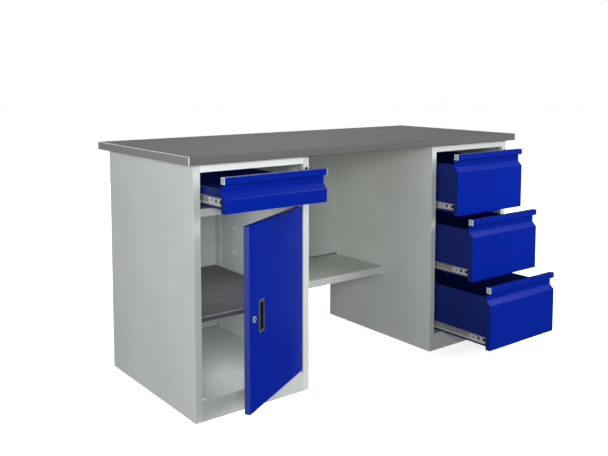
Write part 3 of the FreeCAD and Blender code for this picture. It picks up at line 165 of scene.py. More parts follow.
@dataclass(frozen=True)
class Finish(ABC):
    """A real surface, named for its material and how it was made."""

    name: str

    def material(self) -> bpy.types.Material:
        """The finish as a Blender material, made once.

        Returns:
            The material.
        """
        made = bpy.data.materials.get(self.name)
        if made is None:
            made = bpy.data.materials.new(self.name)
            made.use_nodes = True
            made.node_tree.nodes.clear()
            shader = add_node(made.node_tree, "ShaderNodeBsdfPrincipled")
            add_node(made.node_tree, "ShaderNodeOutputMaterial",
                     links={"Surface": shader.outputs["BSDF"]})
            place = add_node(made.node_tree, "ShaderNodeTexCoord").outputs["Object"]
            self.shade(made.node_tree, shader, place)
        return made

    @abstractmethod
    def shade(self, tree: Tree, shader: Node, place: Socket) -> None:
        """Sets the shader's values and feeds it its patterns.

        Args:
            tree: The material's node tree.
            shader: The material's Principled shader.
            place: Object coordinates.
        """


@dataclass(frozen=True)
class PowderCoat(Finish):
    """Epoxy-polyester powder sprayed on sheet steel and baked.

    It gives the eye an even satin colour, faintly clouded where the film is thinner, and an orange
    peel that breaks up the edges of reflections.
    """

    colour: str
    thin_colour: str
    roughness: float = 0.42
    specular: float = 0.3
    cloud_mm: float = 260.0
    cloud_detail: float = 3.0
    cloud_span: Span = (0.35, 0.75)
    # Real orange peel has waves of 2 to 3 mm. It is drawn twice as coarse, so that it shows.
    peel_mm: float = 5.0
    peel_detail: float = 2.0
    peel_depth_mm: float = 0.05
    peel_strength: float = 0.12
    # How far the peel carries the roughness up and down.
    peel_sheen: float = 0.04

    def shade(self, tree: Tree, shader: Node, place: Socket) -> None:
        """Clouds the colour and dents the film.

        Args:
            tree: The material's node tree.
            shader: The material's Principled shader.
            place: Object coordinates.
        """
        cloud = add_node(tree, "ShaderNodeTexNoise",
                         {"Scale": per_metre(self.cloud_mm), "Detail": self.cloud_detail},
                         {"Vector": place}).outputs["Fac"]
        peel = add_node(tree, "ShaderNodeTexNoise",
                        {"Scale": per_metre(self.peel_mm), "Detail": self.peel_detail},
                        {"Vector": place}).outputs["Fac"]
        sheen = add_node(tree, "ShaderNodeMapRange",
                         {"To Min": self.roughness - self.peel_sheen,
                          "To Max": self.roughness + self.peel_sheen}, {"Value": peel})
        shader.inputs["Specular IOR Level"].default_value = self.specular
        tree.links.new(sheen.outputs["Result"], shader.inputs["Roughness"])
        tint_and_dent(tree, shader, cloud, zip(self.cloud_span, (self.colour, self.thin_colour)),
                      peel, self.peel_strength, self.peel_depth_mm)


@dataclass(frozen=True)
class PlatedSteel(Finish):
    """Steel with a thin bright plating, zinc on rolled strip or chrome on a turned part.

    It gives the eye a metal sheen with faint streaks along the way that the strip was rolled.
    """

    colour: str
    dull_colour: str
    roughness: float = 0.34
    # Below 1 where the passivated plating is dull and scatters light as a white surface does.
    metallic: float = 1.0
    # Real rolling marks are under 1 mm wide. They are drawn at 4 mm, so that they show.
    streak_mm: float = 4.0
    streak_detail: float = 4.0
    streak_span: Span = (0.3, 0.7)
    # The pattern's scale along Y, which draws the streaks out.
    streak_length: float = 0.06
    streak_depth_mm: float = 0.01
    streak_strength: float = 0.2
    # Added to the roughness where the plating is dull, and taken off where it is bright.
    dull_sheen: float = 0.08
    bright_sheen: float = 0.06

    def shade(self, tree: Tree, shader: Node, place: Socket) -> None:
        """Streaks the plating along Y.

        Args:
            tree: The material's node tree.
            shader: The material's Principled shader.
            place: Object coordinates.
        """
        along = add_node(tree, "ShaderNodeMapping", {"Scale": (1.0, self.streak_length, 1.0)},
                         {"Vector": place}).outputs["Vector"]
        streak = add_node(tree, "ShaderNodeTexNoise",
                          {"Scale": per_metre(self.streak_mm), "Detail": self.streak_detail},
                          {"Vector": along}).outputs["Fac"]
        sheen = add_node(tree, "ShaderNodeMapRange",
                         {"To Min": self.roughness + self.dull_sheen,
                          "To Max": self.roughness - self.bright_sheen}, {"Value": streak})
        shader.inputs["Metallic"].default_value = self.metallic
        tree.links.new(sheen.outputs["Result"], shader.inputs["Roughness"])
        tint_and_dent(tree, shader, streak, zip(self.streak_span, (self.dull_colour, self.colour)),
                      streak, self.streak_strength, self.streak_depth_mm)


@dataclass(frozen=True)
class MouldedPlastic(Finish):
    """ABS, nylon or rubber, moulded in a spark-eroded mould.

    It gives the eye a matt surface with a fine even grain.
    """

    colour: str
    grain_colour: str
    roughness: float = 0.5
    ior: float = 1.53
    # The mould's grain is about 0.3 mm and is drawn at 1.2 mm, so that it shows at all.
    grain_mm: float = 1.2
    grain_detail: float = 2.0
    grain_span: Span = (0.35, 0.65)
    grain_depth_mm: float = 0.03
    grain_strength: float = 0.3

    def shade(self, tree: Tree, shader: Node, place: Socket) -> None:
        """Grains the colour and the surface.

        Args:
            tree: The material's node tree.
            shader: The material's Principled shader.
            place: Object coordinates.
        """
        grain = add_node(tree, "ShaderNodeTexNoise",
                         {"Scale": per_metre(self.grain_mm), "Detail": self.grain_detail},
                         {"Vector": place}).outputs["Fac"]
        shader.inputs["IOR"].default_value = self.ior
        shader.inputs["Roughness"].default_value = self.roughness
        tint_and_dent(tree, shader, grain, zip(self.grain_span, (self.grain_colour, self.colour)),
                      grain, self.grain_strength, self.grain_depth_mm)


@dataclass(frozen=True)
class Chipboard(Finish):
    """Wood chips glued and pressed to a board, with its faces sanded.

    It gives the eye small flat chips of several browns.
    """

    light_colour: str = "#c9a878"
    dark_colour: str = "#8c6a42"
    roughness: float = 0.8
    chip_mm: float = 6.0
    chip_span: Span = (0.1, 0.8)
    chip_depth_mm: float = 0.2
    chip_strength: float = 0.4

    def shade(self, tree: Tree, shader: Node, place: Socket) -> None:
        """Gives each chip its own brown.

        Args:
            tree: The material's node tree.
            shader: The material's Principled shader.
            place: Object coordinates.
        """
        chips = add_node(tree, "ShaderNodeTexVoronoi", {"Scale": per_metre(self.chip_mm)},
                         {"Vector": place}).outputs
        shader.inputs["Roughness"].default_value = self.roughness
        browns = zip(self.chip_span, (self.dark_colour, self.light_colour))
        tint_and_dent(tree, shader, chips["Color"], browns, chips["Distance"],
                      self.chip_strength, self.chip_depth_mm)


@dataclass(frozen=True)
class StudioPaint(Finish):
    """Matt white emulsion on the studio's floor, lit through from below.

    It gives the eye a plain pale ground that keeps a soft shadow near the bench and fades to white
    further out.
    """

    colour: str = "#f8f8f7"
    roughness: float = 0.9
    specular: float = 0.05
    near_glow: float = 0.72
    far_glow: float = 1.0
    near_m: float = 2.0
    far_m: float = 6.0

    def shade(self, tree: Tree, shader: Node, place: Socket) -> None:
        """Brightens the floor away from the bench.

        Args:
            tree: The material's node tree.
            shader: The material's Principled shader.
            place: Object coordinates.
        """
        away = add_node(tree, "ShaderNodeVectorMath", {"operation": "LENGTH"}, {"Vector": place})
        glow = add_node(tree, "ShaderNodeMapRange",
                        {"From Min": self.near_m, "From Max": self.far_m,
                         "To Min": self.near_glow, "To Max": self.far_glow},
                        {"Value": away.outputs["Value"]})
        shader.inputs["Base Color"].default_value = linear(self.colour)
        shader.inputs["Emission Color"].default_value = linear(self.colour)
        shader.inputs["Roughness"].default_value = self.roughness
        shader.inputs["Specular IOR Level"].default_value = self.specular
        tree.links.new(glow.outputs["Result"], shader.inputs["Emission Strength"])


GREY_COAT = PowderCoat("light_grey_powder_coat", "#cbd0cc", "#c3c8c4")
# Painted light: the light grey paint drawn paler, on the top rail under the worktop's overhang and
# on the highlight strips up the cupboard's walls.
LIT_GREY_COAT = PowderCoat("grey_powder_coat_painted_light", "#e3e6e4", "#dcdfdd")
# Painted shade: the light grey paint drawn darker, on the cupboard's floor and on the divider under
# the left drawer.
SHADED_GREY_COAT = PowderCoat("grey_powder_coat_painted_shade", "#bfc4c0", "#b7bcb8")
BLUE_COAT = PowderCoat("ultramarine_powder_coat", "#032090", "#031e88", 0.35, specular=0.22)
DOOR_COAT = PowderCoat("satin_ultramarine_powder_coat", "#032092", "#031e8a", 0.35, specular=0.1)
# Painted light: the door's blue drawn paler and greyer, on its free edge.
EDGE_LIGHT_BLUE_COAT = PowderCoat("ultramarine_powder_coat_painted_edge_light", "#2a3888", "#273480")
# The drawer boxes' own dark blue. On the fronts' ends, whose real paint is the fronts' blue, it is
# painted shade.
NAVY_BOX_COAT_AND_END_SHADE = PowderCoat("dark_blue_box_coat_and_painted_end_shade", "#15246a", "#132162", 0.3, specular=0.1)
# Painted highlight: the shelf's anthracite drawn pale, on its front folds.
FOLD_HIGHLIGHT_COAT = PowderCoat("pale_anthracite_painted_fold_highlight", "#a9a9ae", "#9d9da2", specular=0.2)
SHELF_COAT = PowderCoat("anthracite_powder_coat", "#616163", "#5b5b5d", specular=0.1)
TOP_COAT = PowderCoat("iron_grey_powder_coat", "#626361", "#5e5f5d", 0.6, specular=0.1)
END_COAT = PowderCoat("pale_iron_grey_powder_coat", "#878886", "#828381", 0.6, specular=0.1)
# Painted highlight: a white line on the worktop end plates' upper and front edges.
EDGE_HIGHLIGHT_PAINT = PowderCoat("white_painted_edge_highlight", "#eaeae6", "#e2e2de", 0.35)
BOARD = Chipboard("pressed_chipboard")
ZINC = PlatedSteel("zinc_plated_strip", "#e4e2dd", "#d0ceca", metallic=0.4)
# Painted shade: the slide channels' zinc drawn darker on their flat web, while their folds keep the
# lighter zinc.
SHADED_ZINC_WEB = PlatedSteel("zinc_plated_web_painted_shade", "#9b9a93", "#86857e", 0.45, metallic=0.4)
PRESSED_ZINC = PlatedSteel("pressed_zinc_plated_tongue", "#ccccd0", "#b9b9be", 0.45, metallic=0.4)
BEARING = PlatedSteel("hardened_bearing_steel", "#dadcdd", "#c2c5c7", 0.16)
CHROME = PlatedSteel("polished_chrome_plate", "#e6e9ec", "#d4d8dc", 0.25, metallic=0.6)
# The lock's plug is drawn darker than its ring.
PLUG_CHROME = PlatedSteel("dark_chrome_plate", "#6a6e72", "#5e6266", 0.35, metallic=0.6)
BLACK_ZINC = PlatedSteel("black_passivated_zinc", "#4a4c4b", "#3a3c3b", 0.38)
# Painted shade: the slides' screw heads, their notches' stops and the nuts behind the side walls'
# holes are near black, so that holes and notches read dark.
HOLE_SHADE_STEEL = PlatedSteel("near_black_steel_painted_hole_shade", "#070708", "#040405", 0.6, metallic=0.3)
SHADE_BLACK_RUBBER = MouldedPlastic("black_rubber_painted_shade", "#060608", "#040405", 0.8)
HANDLE_ABS = MouldedPlastic("dark_grey_moulded_abs", "#50534a", "#484b42")
# Painted shade: the handle's plastic drawn darker, in its finger pocket.
POCKET_SHADE_ABS = MouldedPlastic("near_black_abs_painted_pocket_shade", "#262321", "#1e1b1a", 0.6)
CAP_ABS = MouldedPlastic("light_grey_moulded_abs", "#d4d8da", "#ccd0d2", 0.42)
# Painted shade: the caps' light grey drawn darker, on their sunk panels.
CAP_PANEL_SHADE_ABS = MouldedPlastic("grey_abs_painted_panel_shade", "#a3a99f", "#9aa096", 0.6)
# Painted shade: a black strip that stands in for the shadow gap under the screen's foot.
SEAL_SHADE_FOAM = MouldedPlastic("black_foam_painted_shadow_gap", "#2a2b2a", "#222322", 0.9, grain_mm=2.0)
NYLON = MouldedPlastic("white_moulded_nylon", "#ececea", "#e2e2df", 0.4)
# Painted shade: the bushes' white nylon drawn grey, under the divider.
SHADED_NYLON = MouldedPlastic("nylon_painted_grey_shade", "#8d9290", "#868b89", 0.6)


class Body(Enum):
    """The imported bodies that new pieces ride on."""

    BENCH = "bench"
    DOOR = "door"
    DOOR_LOCK = "door_lock"
    LEFT_DRAWER = "left_drawer"
    UPPER_DRAWER = "upper_drawer"
    MIDDLE_DRAWER = "middle_drawer"
    LOWER_DRAWER = "lower_drawer"


DRAWERS = (Body.LEFT_DRAWER, Body.UPPER_DRAWER, Body.MIDDLE_DRAWER, Body.LOWER_DRAWER)

FINISH_OF_SLOT: dict[str, Finish] = {
    "board": BOARD,
    "worktop_steel": TOP_COAT,
    "end_plate_steel": END_COAT,
    "grey_paint": GREY_COAT,
    "shelf_paint": SHELF_COAT,
    "blue_paint": BLUE_COAT,
    "zinc_steel": ZINC,
    "ball_steel": BEARING,
    "lock_chrome": CHROME,
    "lock_black": BLACK_ZINC,
    "handle_plastic": HANDLE_ABS,
    "cap_plastic": CAP_ABS,
    "nylon": NYLON,
}

FINISH_OF_NODE: dict[str, Finish] = {
    **{f"{body.value}_box": NAVY_BOX_COAT_AND_END_SHADE for body in DRAWERS},
    "cupboard_shelf_studs": NYLON,
    "tie_bolts": GREY_COAT,
    # The top rail takes the paler grey as painted light.
    "left_pedestal_top": LIT_GREY_COAT,
    # The cupboard's floor and the divider take the darker grey as painted shade.
    "left_pedestal_floor": SHADED_GREY_COAT,
    "left_pedestal_divider": SHADED_GREY_COAT,
}


# Shapes

def link_object(name: str, data: bpy.types.ID) -> bpy.types.Object:
    """Makes an object and links it to the scene.

    Args:
        name: The object's name.
        data: Its mesh, light or camera.

    Returns:
        The new object.
    """
    made = bpy.data.objects.new(name, data)
    bpy.context.scene.collection.objects.link(made)
    return made


class Shape:
    """A mesh in the making, in millimetres, round its own origin."""

    def __init__(self) -> None:
        """Starts an empty mesh."""
        self.bm = bmesh.new()

    def end(self, name: str = "part") -> bpy.types.Mesh:
        """Ends the shape.

        Args:
            name: The name of its mesh.

        Returns:
            Its mesh.
        """
        mesh = bpy.data.meshes.new(name)
        self.bm.to_mesh(mesh)
        self.bm.free()
        return mesh

    def add(self, other: "Shape", place: Matrix | None = None) -> "Shape":
        """Takes another shape in and ends it.

        Args:
            other: The shape to take in.
            place: Where it goes, or None to leave it where it is.

        Returns:
            This shape.
        """
        mesh = other.end()
        if place is not None:
            mesh.transform(place)
        self.bm.from_mesh(mesh)
        bpy.data.meshes.remove(mesh)
        return self

    def mark(self, number: int, chosen: FaceTest | None = None) -> "Shape":
        """Gives faces one of the finishes that the piece will have.

        Args:
            number: The finish's place in the piece's list.
            chosen: Says whether a face takes it, or None for all faces.

        Returns:
            This shape.
        """
        self.bm.normal_update()
        for face in self.bm.faces:
            if chosen is None or chosen(face):
                face.material_index = number
        return self

    def round_edges(self, edges: Iterable[bmesh.types.BMEdge], radius: float,
                    segments: int = EDGE_STEPS) -> "Shape":
        """Rounds edges.

        Args:
            edges: The edges to round.
            radius: Width taken off each side of an edge.
            segments: Steps across the rounding.

        Returns:
            This shape.
        """
        bmesh.ops.bevel(self.bm, geom=list(edges), offset=radius, affect="EDGES",
                        segments=segments, profile=0.5, material=-1)
        return self

    def round_folds(self, radius: float) -> "Shape":
        """Rounds the edges where two faces of an open sheet meet."""
        return self.round_edges([e for e in self.bm.edges if len(e.link_faces) == 2], radius)

    def thicken(self, sheet: float) -> "Shape":
        """Gives a surface its sheet's thickness, away from its outer face.

        Args:
            sheet: The thickness.

        Returns:
            This shape.
        """
        self.bm.normal_update()
        bmesh.ops.solidify(self.bm, geom=self.bm.faces[:], thickness=sheet)
        return self

    def cut(self, tool: "Shape") -> "Shape":
        """Takes a closed shape away from this closed shape, and ends the other.

        Args:
            tool: The shape to take away.

        Returns:
            This shape.
        """
        whole, taken = (link_object("part", shape.end()) for shape in (self, tool))
        work = whole.modifiers.new("cut", "BOOLEAN")
        work.operation, work.solver, work.object = "DIFFERENCE", "EXACT", taken
        work.material_mode = "INDEX"
        view = bpy.context.evaluated_depsgraph_get()
        result = bpy.data.meshes.new_from_object(whole.evaluated_get(view))
        self.bm = bmesh.new()
        self.bm.from_mesh(result)
        for mesh in (result, whole.data, taken.data):
            bpy.data.meshes.remove(mesh)
        return self


def at(x: float, y: float, z: float) -> Matrix:
    """The place that is this far from the origin."""
    return Matrix.Translation((x, y, z))


def turn(degrees: float, axis: str) -> Matrix:
    """A turn about X, Y or Z."""
    return Matrix.Rotation(math.radians(degrees), 4, axis)


def new_verts(grown: dict) -> list[bmesh.types.BMVert]:
    """The vertices among what an operator has made."""
    return [part for part in grown["geom"] if isinstance(part, bmesh.types.BMVert)]


def box(x_span: Span, y_span: Span, z_span: Span, edge: float = 0.0, segments: int = 2) -> Shape:
    """Makes a box with rounded edges.

    Args:
        x_span: Its extent along X.
        y_span: Its extent along Y.
        z_span: Its extent along Z.
        edge: Radius of its edges, or 0 for sharp ones.
        segments: Steps across each rounding.

    Returns:
        The box.
    """
    made = Shape()
    spans = (x_span, y_span, z_span)
    bmesh.ops.create_cube(made.bm, size=1.0)
    bmesh.ops.scale(made.bm, vec=[hi - lo for lo, hi in spans], verts=made.bm.verts)
    bmesh.ops.translate(made.bm, vec=[(lo + hi) / 2 for lo, hi in spans], verts=made.bm.verts)
    return made.round_edges(made.bm.edges, edge, segments) if edge else made


def swept(section: Sequence[Span], x_span: Span, sheet: float, fold: float) -> Shape:
    """Sweeps an open section along X as one folded sheet.

    Args:
        section: Points of its outer face, in Y and Z, the outer side on the right of the way.
        x_span: Where the sheet starts and ends.
        sheet: The sheet's thickness.
        fold: Outer radius of its folds.

    Returns:
        The folded sheet.
    """
    made = Shape()
    chain = [made.bm.verts.new((x_span[0], y, z)) for y, z in section]
    edges = [made.bm.edges.new(pair) for pair in zip(chain, chain[1:])]
    grown = bmesh.ops.extrude_edge_only(made.bm, edges=edges)
    bmesh.ops.translate(made.bm, vec=(x_span[1] - x_span[0], 0, 0), verts=new_verts(grown))
    return made.round_folds(fold).thicken(sheet)


def plate(x_span: Span, y_span: Span, z_span: Span, corner: float, edge: float = 0.0) -> Shape:
    """Makes a plate that faces along Y, with round corners.

    Args:
        x_span: Its extent along X.
        y_span: Its extent along Y, its thickness.
        z_span: Its extent along Z.
        corner: Radius of its four corners.
        edge: Radius of the edge round its front face, or 0 for a sharp one.

    Returns:
        The plate.
    """
    made = box(x_span, y_span, z_span)
    upright = [e for e in made.bm.edges if abs(e.verts[0].co.y - e.verts[1].co.y) > NEAR_MM]
    made.round_edges(upright, corner, CORNER_STEPS)
    if edge:
        made.round_edges([e for e in made.bm.edges
                          if all(abs(v.co.y - y_span[0]) < NEAR_MM for v in e.verts)], edge)
    return made


def turned(profile: Sequence[Span], steps: int = ROUND_STEPS, closed: bool = False) -> Shape:
    """Turns a profile about Y into a closed round part.

    Args:
        profile: Radius and Y of its points, from the axis round to the axis again, or round a ring.
        steps: Sides of the round part.
        closed: Whether the last point joins the first, as in a ring.

    Returns:
        The round part.
    """
    made = Shape()
    chain = [made.bm.verts.new((radius, y, 0)) for radius, y in profile]
    edges = [made.bm.edges.new(pair) for pair in zip(chain, chain[1:] + chain[:closed])]
    bmesh.ops.spin(made.bm, geom=chain + edges, cent=(0, 0, 0), axis=(0, 1, 0), dvec=(0, 0, 0),
                   angle=2 * math.pi, steps=steps, use_merge=True)
    bmesh.ops.remove_doubles(made.bm, verts=made.bm.verts, dist=MERGE_MM)
    bmesh.ops.recalc_face_normals(made.bm, faces=made.bm.faces)
    return made


def rod(radius: float, y_span: Span, steps: int = ROUND_STEPS) -> Shape:
    """Makes a round bar along Y."""
    start, end = y_span
    return turned([(0, start), (radius, start), (radius, end), (0, end)], steps)


# Pieces

def place_piece(shape: Shape, name: str, body: Body, place: Matrix, finishes: Sequence[Finish],
                stands_for: Sequence[str] = ()) -> None:
    """Makes a shape a piece of the bench, with its place in its mesh.

    Args:
        shape: The finished shape, in millimetres.
        name: The piece's name.
        body: The body that it rides on.
        place: Where it goes in the frame, in millimetres.
        finishes: Its finishes, in the order of its material slots.
        stands_for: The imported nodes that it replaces.
    """
    mesh = shape.end(name)
    mesh.transform(Matrix.Scale(METRES_PER_MM, 4) @ place)
    for finish in finishes:
        mesh.materials.append(finish.material())
    mesh.shade_smooth()
    piece = link_object(name, mesh)
    piece.modifiers.new("even_normals", "WEIGHTED_NORMAL").keep_sharp = True
    mesh.set_sharp_from_angle(angle=CORNER_ANGLE)
    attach(piece, body.value)
    if stands_for:
        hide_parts(*stands_for)
    LOG.info("%s on %s, %d faces", name, body.value, len(mesh.polygons))


def node_corners(node: str) -> tuple[Vector, Vector]:
    """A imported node's lowest and highest corner, in millimetres."""
    low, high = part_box(node)
    return low / METRES_PER_MM, high / METRES_PER_MM


@dataclass
class DrawerFront:
    """One drawer's front: a pan with a bevelled head, a neck and a square lip with caps."""

    body: Body
    lip_height: float = 22.0
    neck_height: float = 27.0
    bevel_height: float = 20.0
    sheet: float = 1.2
    fold: float = 1.6
    # The ends are painted dark as shade, with the parts of their folds that look along X.
    end_facing: float = 0.95
    cap: float = 2.0
    cap_rim: float = 4.0
    cap_sink: float = 1.2
    cap_edge: float = 0.35
    plug_length: float = 8.0
    plug_gap: float = 0.1
    hem_gap: float = 0.2
    width: float = field(init=False)
    depth: float = field(init=False)
    height: float = field(init=False)
    place: Matrix = field(init=False)

    def __post_init__(self) -> None:
        """Takes the front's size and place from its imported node."""
        low, high = node_corners(f"{self.body.value}_front")
        self.width, self.depth, self.height = high - low
        self.place = at((low.x + high.x) / 2, low.y, low.z)

    def pan(self) -> Shape:
        """Folded pan of the front: flat face, bevel, bottom and both ends, open at the back.

        Returns:
            The pan.
        """
        neck_foot = self.height - self.lip_height - self.neck_height
        outline = [(self.depth, 0), (0, 0), (0, neck_foot - self.bevel_height),
                   (self.depth, neck_foot)]
        made = Shape()
        half = self.width / 2
        side = made.bm.faces.new([made.bm.verts.new((-half, y, z)) for y, z in outline])
        grown = bmesh.ops.extrude_face_region(made.bm, geom=[side], use_keep_orig=True)
        bmesh.ops.translate(made.bm, vec=(self.width, 0, 0), verts=new_verts(grown))
        bmesh.ops.recalc_face_normals(made.bm, faces=made.bm.faces)
        back = [face for face in made.bm.faces if face.normal.y > FACING]
        bmesh.ops.delete(made.bm, geom=back, context="FACES")
        return made.round_folds(self.fold).thicken(self.sheet)

    def lip(self) -> Shape:
        """Neck and square lip, folded from the bevel's upper edge round to the neck again.

        Returns:
            The neck and the lip.
        """
        lip_foot = self.height - self.lip_height
        neck_foot = lip_foot - self.neck_height
        neck_front = self.depth - self.sheet
        neck = swept([(neck_front, neck_foot - self.sheet), (neck_front, lip_foot)],
                     (-self.width / 2, self.width / 2), self.sheet, self.fold)
        between = self.width / 2 - self.cap
        section = [(self.depth, lip_foot), (0, lip_foot), (0, self.height),
                   (self.depth, self.height), (self.depth, lip_foot + self.sheet + self.hem_gap)]
        return neck.add(swept(section, (-between, between), self.sheet, self.fold))

    def caps(self) -> Shape:
        """Two caps that close the lip's ends, each with a raised rim round a shallow panel painted
        darker as shade.

        Returns:
            Both caps.
        """
        lip_foot = self.height - self.lip_height
        made = Shape()
        for side in (-1, 1):
            outer = side * self.width / 2
            inner = outer - side * self.cap
            cap = box(sorted((outer, inner)), (0, self.depth), (lip_foot, self.height))
            face = [f for f in cap.bm.faces if f.normal.x * side > FACING]
            bmesh.ops.inset_region(cap.bm, faces=face, thickness=self.cap_rim)
            # The sunk panel takes the darker grey as painted shade.
            face[0].material_index = 1
            grown = bmesh.ops.extrude_discrete_faces(cap.bm, faces=face)["faces"]
            bmesh.ops.translate(cap.bm, vec=(-side * self.cap_sink, 0, 0), verts=grown[0].verts)
            cap.round_edges([e for e in cap.bm.edges if e.calc_face_angle(0) > CORNER_ANGLE],
                            self.cap_edge)
            wall = self.sheet + self.plug_gap
            cap.add(box(sorted((inner, inner - side * self.plug_length)),
                        (wall, self.depth - wall), (lip_foot + wall, self.height - wall),
                        self.cap_edge))
            made.add(cap)
        return made

    def build(self) -> None:
        """Makes the front and its caps."""
        name = self.body.value
        panel = self.pan().add(self.lip())
        # The ends take the boxes' dark blue as painted shade.
        panel.mark(1, lambda face: abs(face.normal.x) > self.end_facing)
        place_piece(panel, f"{name}_front_panel", self.body, self.place, [BLUE_COAT, NAVY_BOX_COAT_AND_END_SHADE],
                    [f"{name}_front"])
        place_piece(self.caps(), f"{name}_end_caps", self.body, self.place,
                    [CAP_ABS, CAP_PANEL_SHADE_ABS], [f"{name}_lip_caps"])


@dataclass
class DrawerSlides:
    """The two rolled channels on a drawer's sides, each with a pressed plate at its front end."""

    body: Body
    channel_depth: float = 10.0
    steel: float = 1.2
    fold: float = 2.6
    # The channel's flat web, without its folds, takes a darker zinc as painted shade.
    web_facing: float = 0.97
    # Distance from the front end and diameter of each front hole.
    front_holes: tuple[Span, ...] = ((33.0, 12.0), (58.0, 7.5))
    screw_gap: float = 0.15
    screw_sink: float = 1.2
    notch_depth: float = 12.5
    notch_height: float = 12.5
    pad_length: float = 78.0
    pad_margin: float = 3.6
    pad_thickness: float = 0.9
    pad_edge: float = 0.4

    def side(self, length: float, height: float) -> tuple[Shape, Shape]:
        """Channel and plate of the left side, their web at X = 0 and open towards -X.

        Args:
            length: The channel's length.
            height: The channel's height.

        Returns:
            The channel and the plate.
        """
        section = [(self.channel_depth, 0), (0, 0), (0, height), (self.channel_depth, height)]
        channel = Shape().add(swept(section, (0, length), self.steel, self.fold), turn(90, "Z"))
        front = -self.steel - self.pad_thickness
        pad = box((front, -self.steel), (0, self.pad_length),
                  (self.pad_margin, height - self.pad_margin), self.pad_edge)
        across = (front - self.steel, self.steel)
        middle, half = height / 2, self.notch_height / 2
        inset, hole = self.front_holes[0]
        for shape in (channel, pad):
            for y, diameter in (*self.front_holes, (length - inset, hole)):
                shape.cut(Shape().add(rod(diameter / 2, across, SMALL_STEPS),
                                      at(0, y, middle) @ turn(-90, "Z")))
            shape.cut(box(across, (-self.notch_depth, self.notch_depth),
                          (middle - half, middle + half)))
        return channel, pad

    def fittings(self, height: float) -> tuple[Shape, Shape]:
        """Screw heads in the two front holes and rubber stop in the notch, of the left side, both
        near black as painted shade.

        Args:
            height: The channel's height.

        Returns:
            The screw heads and the stop.
        """
        top, edge = self.screw_sink - self.steel - self.pad_thickness, self.pad_edge
        screws = Shape()
        for y, diameter in self.front_holes:
            head = diameter / 2 - self.screw_gap
            screw = turned([(0, top), (head - edge, top), (head, top + edge), (head, self.steel),
                            (0, self.steel)], SMALL_STEPS)
            screws.add(screw, at(0, y, height / 2) @ turn(-90, "Z"))
        half = self.notch_height / 2 - self.screw_gap
        stop = box((top, self.steel), (self.screw_gap, self.notch_depth - self.screw_gap),
                   (height / 2 - half, height / 2 + half), edge)
        return screws, stop

    def build(self) -> None:
        """Makes both channels, their plates and their fittings as one piece."""
        node = f"{self.body.value}_slide_inner_members"
        low, high = node_corners(node)
        channel, pad = self.side(high.y - low.y, high.z - low.z)
        # The web takes the darker zinc as painted shade.
        made = Shape().add(channel.mark(1, lambda face: abs(face.normal.x) > self.web_facing))
        for number, shape in enumerate((pad, *self.fittings(high.z - low.z)), 2):
            made.add(shape.mark(number))
        inner = (high.x - low.x) / 2 - self.channel_depth
        bmesh.ops.translate(made.bm, vec=(-inner, 0, 0), verts=made.bm.verts)
        bmesh.ops.mirror(made.bm, geom=made.bm.verts[:] + made.bm.edges[:] + made.bm.faces[:],
                         axis="X", merge_dist=-1)
        bmesh.ops.recalc_face_normals(made.bm, faces=made.bm.faces)
        place_piece(made, f"{self.body.value}_slide_channels", self.body,
                    at((low.x + high.x) / 2, low.y, low.z),
                    [ZINC, SHADED_ZINC_WEB, PRESSED_ZINC, HOLE_SHADE_STEEL, SHADE_BLACK_RUBBER], [node])


